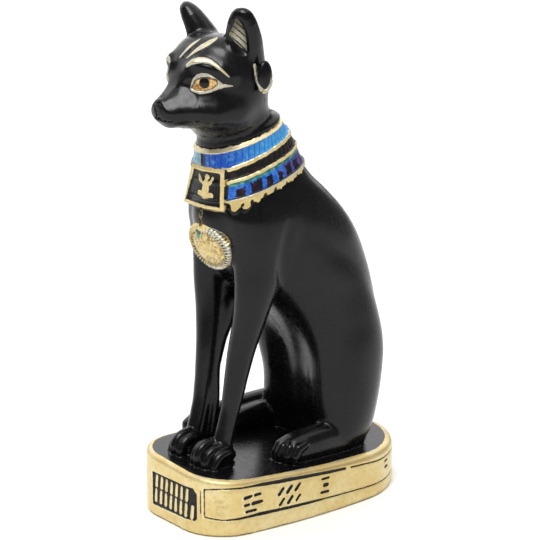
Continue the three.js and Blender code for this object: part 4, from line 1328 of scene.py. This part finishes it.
    # painted shade: the pale paint darkens to brown in the hollows
    pale = g.mix(g.ramp(hollow_in, 0.06, 0.25, 0.0, 0.8), pale, rgb(70, 58, 36))
    m_pale = paint("pale", pale, 0.45, 0.34, wobble=0.55)
    iris = g.mix(g.ramp(fine, 0.42, 0.6), rgb(206, 150, 58), rgb(232, 212, 158))
    iris = g.mix(g.ramp(mid, 0.47, 0.57, 0.0, 0.85), iris, rgb(122, 66, 20))
    iris = g.mix(g.ramp(g.attribute("iris"), -0.42, -0.12, 0.0, 0.8), iris, rgb(92, 54, 20))
    paint("iris", iris, 0.1, 0.25, wobble=0.4)
    paint("pupil", rgb(14, 13, 15), 0.0, 0.12, wobble=0.35)
    ink = g.mix(g.ramp(mid, 0.5, 0.7, 0.0, 0.4), rgb(20, 18, 18), rgb(52, 42, 32))
    paint("ink", ink, 0.0, 0.36, wobble=0.7)

    g.put(shader.inputs["Base Color"], color)
    g.put(shader.inputs["Metallic"], metal)
    g.put(shader.inputs["Roughness"], rough)
    shader.inputs["Specular IOR Level"].default_value = 0.26
    shader.inputs["Coat Weight"].default_value = 0.05
    shader.inputs["Coat Roughness"].default_value = 0.12

    # relief: brush marks in the paint, faint casting unevenness in the resin
    height = g.math("ADD", g.math("MULTIPLY", fine, 0.35), g.math("MULTIPLY", mid, 0.65))
    painted = g.math("MAXIMUM", m_gold, g.math("MAXIMUM", m_pale, m_silver))
    height = g.math("ADD", g.math("MULTIPLY", height, g.blend(painted, 0.22, 0.9)), g.math("MULTIPLY", painted, 0.5))
    bump = g.add("ShaderNodeBump")
    bump.inputs["Strength"].default_value = 0.35
    bump.inputs["Distance"].default_value = 0.00012
    g.put(bump.inputs["Height"], height)
    g.put(shader.inputs["Normal"], bump.outputs[0])
    return mat


def paper(name="floor_paper"):
    mat = bpy.data.materials.new(name)
    mat.use_nodes = True
    g = Graph(mat)
    shader = g.nodes["Principled BSDF"]
    place = g.add("ShaderNodeTexCoord").outputs["Object"]
    grain = g.noise(place, 60, 5, 0.6)
    g.put(shader.inputs["Base Color"], g.mix(grain, (0.86, 0.86, 0.855, 1), (0.9, 0.9, 0.895, 1)))
    shader.inputs["Roughness"].default_value = 0.85
    shader.inputs["Specular IOR Level"].default_value = 0.2
    return mat


mesh.materials.append(painted_resin())
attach(cat_piece, "root")
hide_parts("cat_figure")

# ======================================================== floor, light, camera
floor_mesh = bpy.data.meshes.new("floor")
H = 4.0
floor_mesh.from_pydata([(-H, -H, -0.0002), (H, -H, -0.0002), (H, H, -0.0002), (-H, H, -0.0002)], [], [(0, 1, 2, 3)])
floor_mesh.materials.append(paper())
floor = bpy.data.objects.new("floor", floor_mesh)
bpy.context.scene.collection.objects.link(floor)

world = bpy.data.worlds.new("studio")
bpy.context.scene.world = world
world.use_nodes = True
world.node_tree.nodes["Background"].inputs[0].default_value = (1.0, 1.0, 1.0, 1.0)
world.node_tree.nodes["Background"].inputs[1].default_value = 0.22


def softbox(name, at, target, wide, tall, power):
    light = bpy.data.lights.new(name, "AREA")
    light.shape, light.size, light.size_y, light.energy = "RECTANGLE", wide, tall, power
    o = bpy.data.objects.new(name, light)
    o.location = at
    o.rotation_euler = (Vector(target) - Vector(at)).to_track_quat("-Z", "Y").to_euler()
    bpy.context.scene.collection.objects.link(o)
    return o


softbox("key", (0.38, -0.42, 0.98), (0, -0.03, 0.1), 0.5, 0.45, 8.0)
softbox("left", (-0.75, -0.25, 0.45), (0, 0, 0.07), 0.5, 0.5, 1.2)
softbox("behind", (-1.2, 0.95, 0.64), (0, 0, 0.05), 2.4, 0.8, 7.5)
softbox("top", (-0.9, 0.7, 2.4), (-0.9, 0.7, 0), 5.0, 5.0, 92.0)
softbox("far floor", (-1.5, 1.2, 0.35), (-1.5, 1.2, 0), 1.2, 1.2, 1.4)
bpy.context.scene.view_settings.view_transform = "Standard"

camera = bpy.data.cameras.new("camera")
camera.lens, camera.sensor_width, camera.clip_start, camera.clip_end = 113.333, 36.0, 0.01, 20.0
eye = bpy.data.objects.new("camera", camera)
bpy.context.scene.collection.objects.link(eye)
eye.location = (0.38377, -0.30922, 0.19322)
look = Vector((-0.00148, -0.00184, 0.0702))
eye.rotation_euler = (look - eye.location).to_track_quat("-Z", "Y").to_euler()
bpy.context.scene.camera = eye
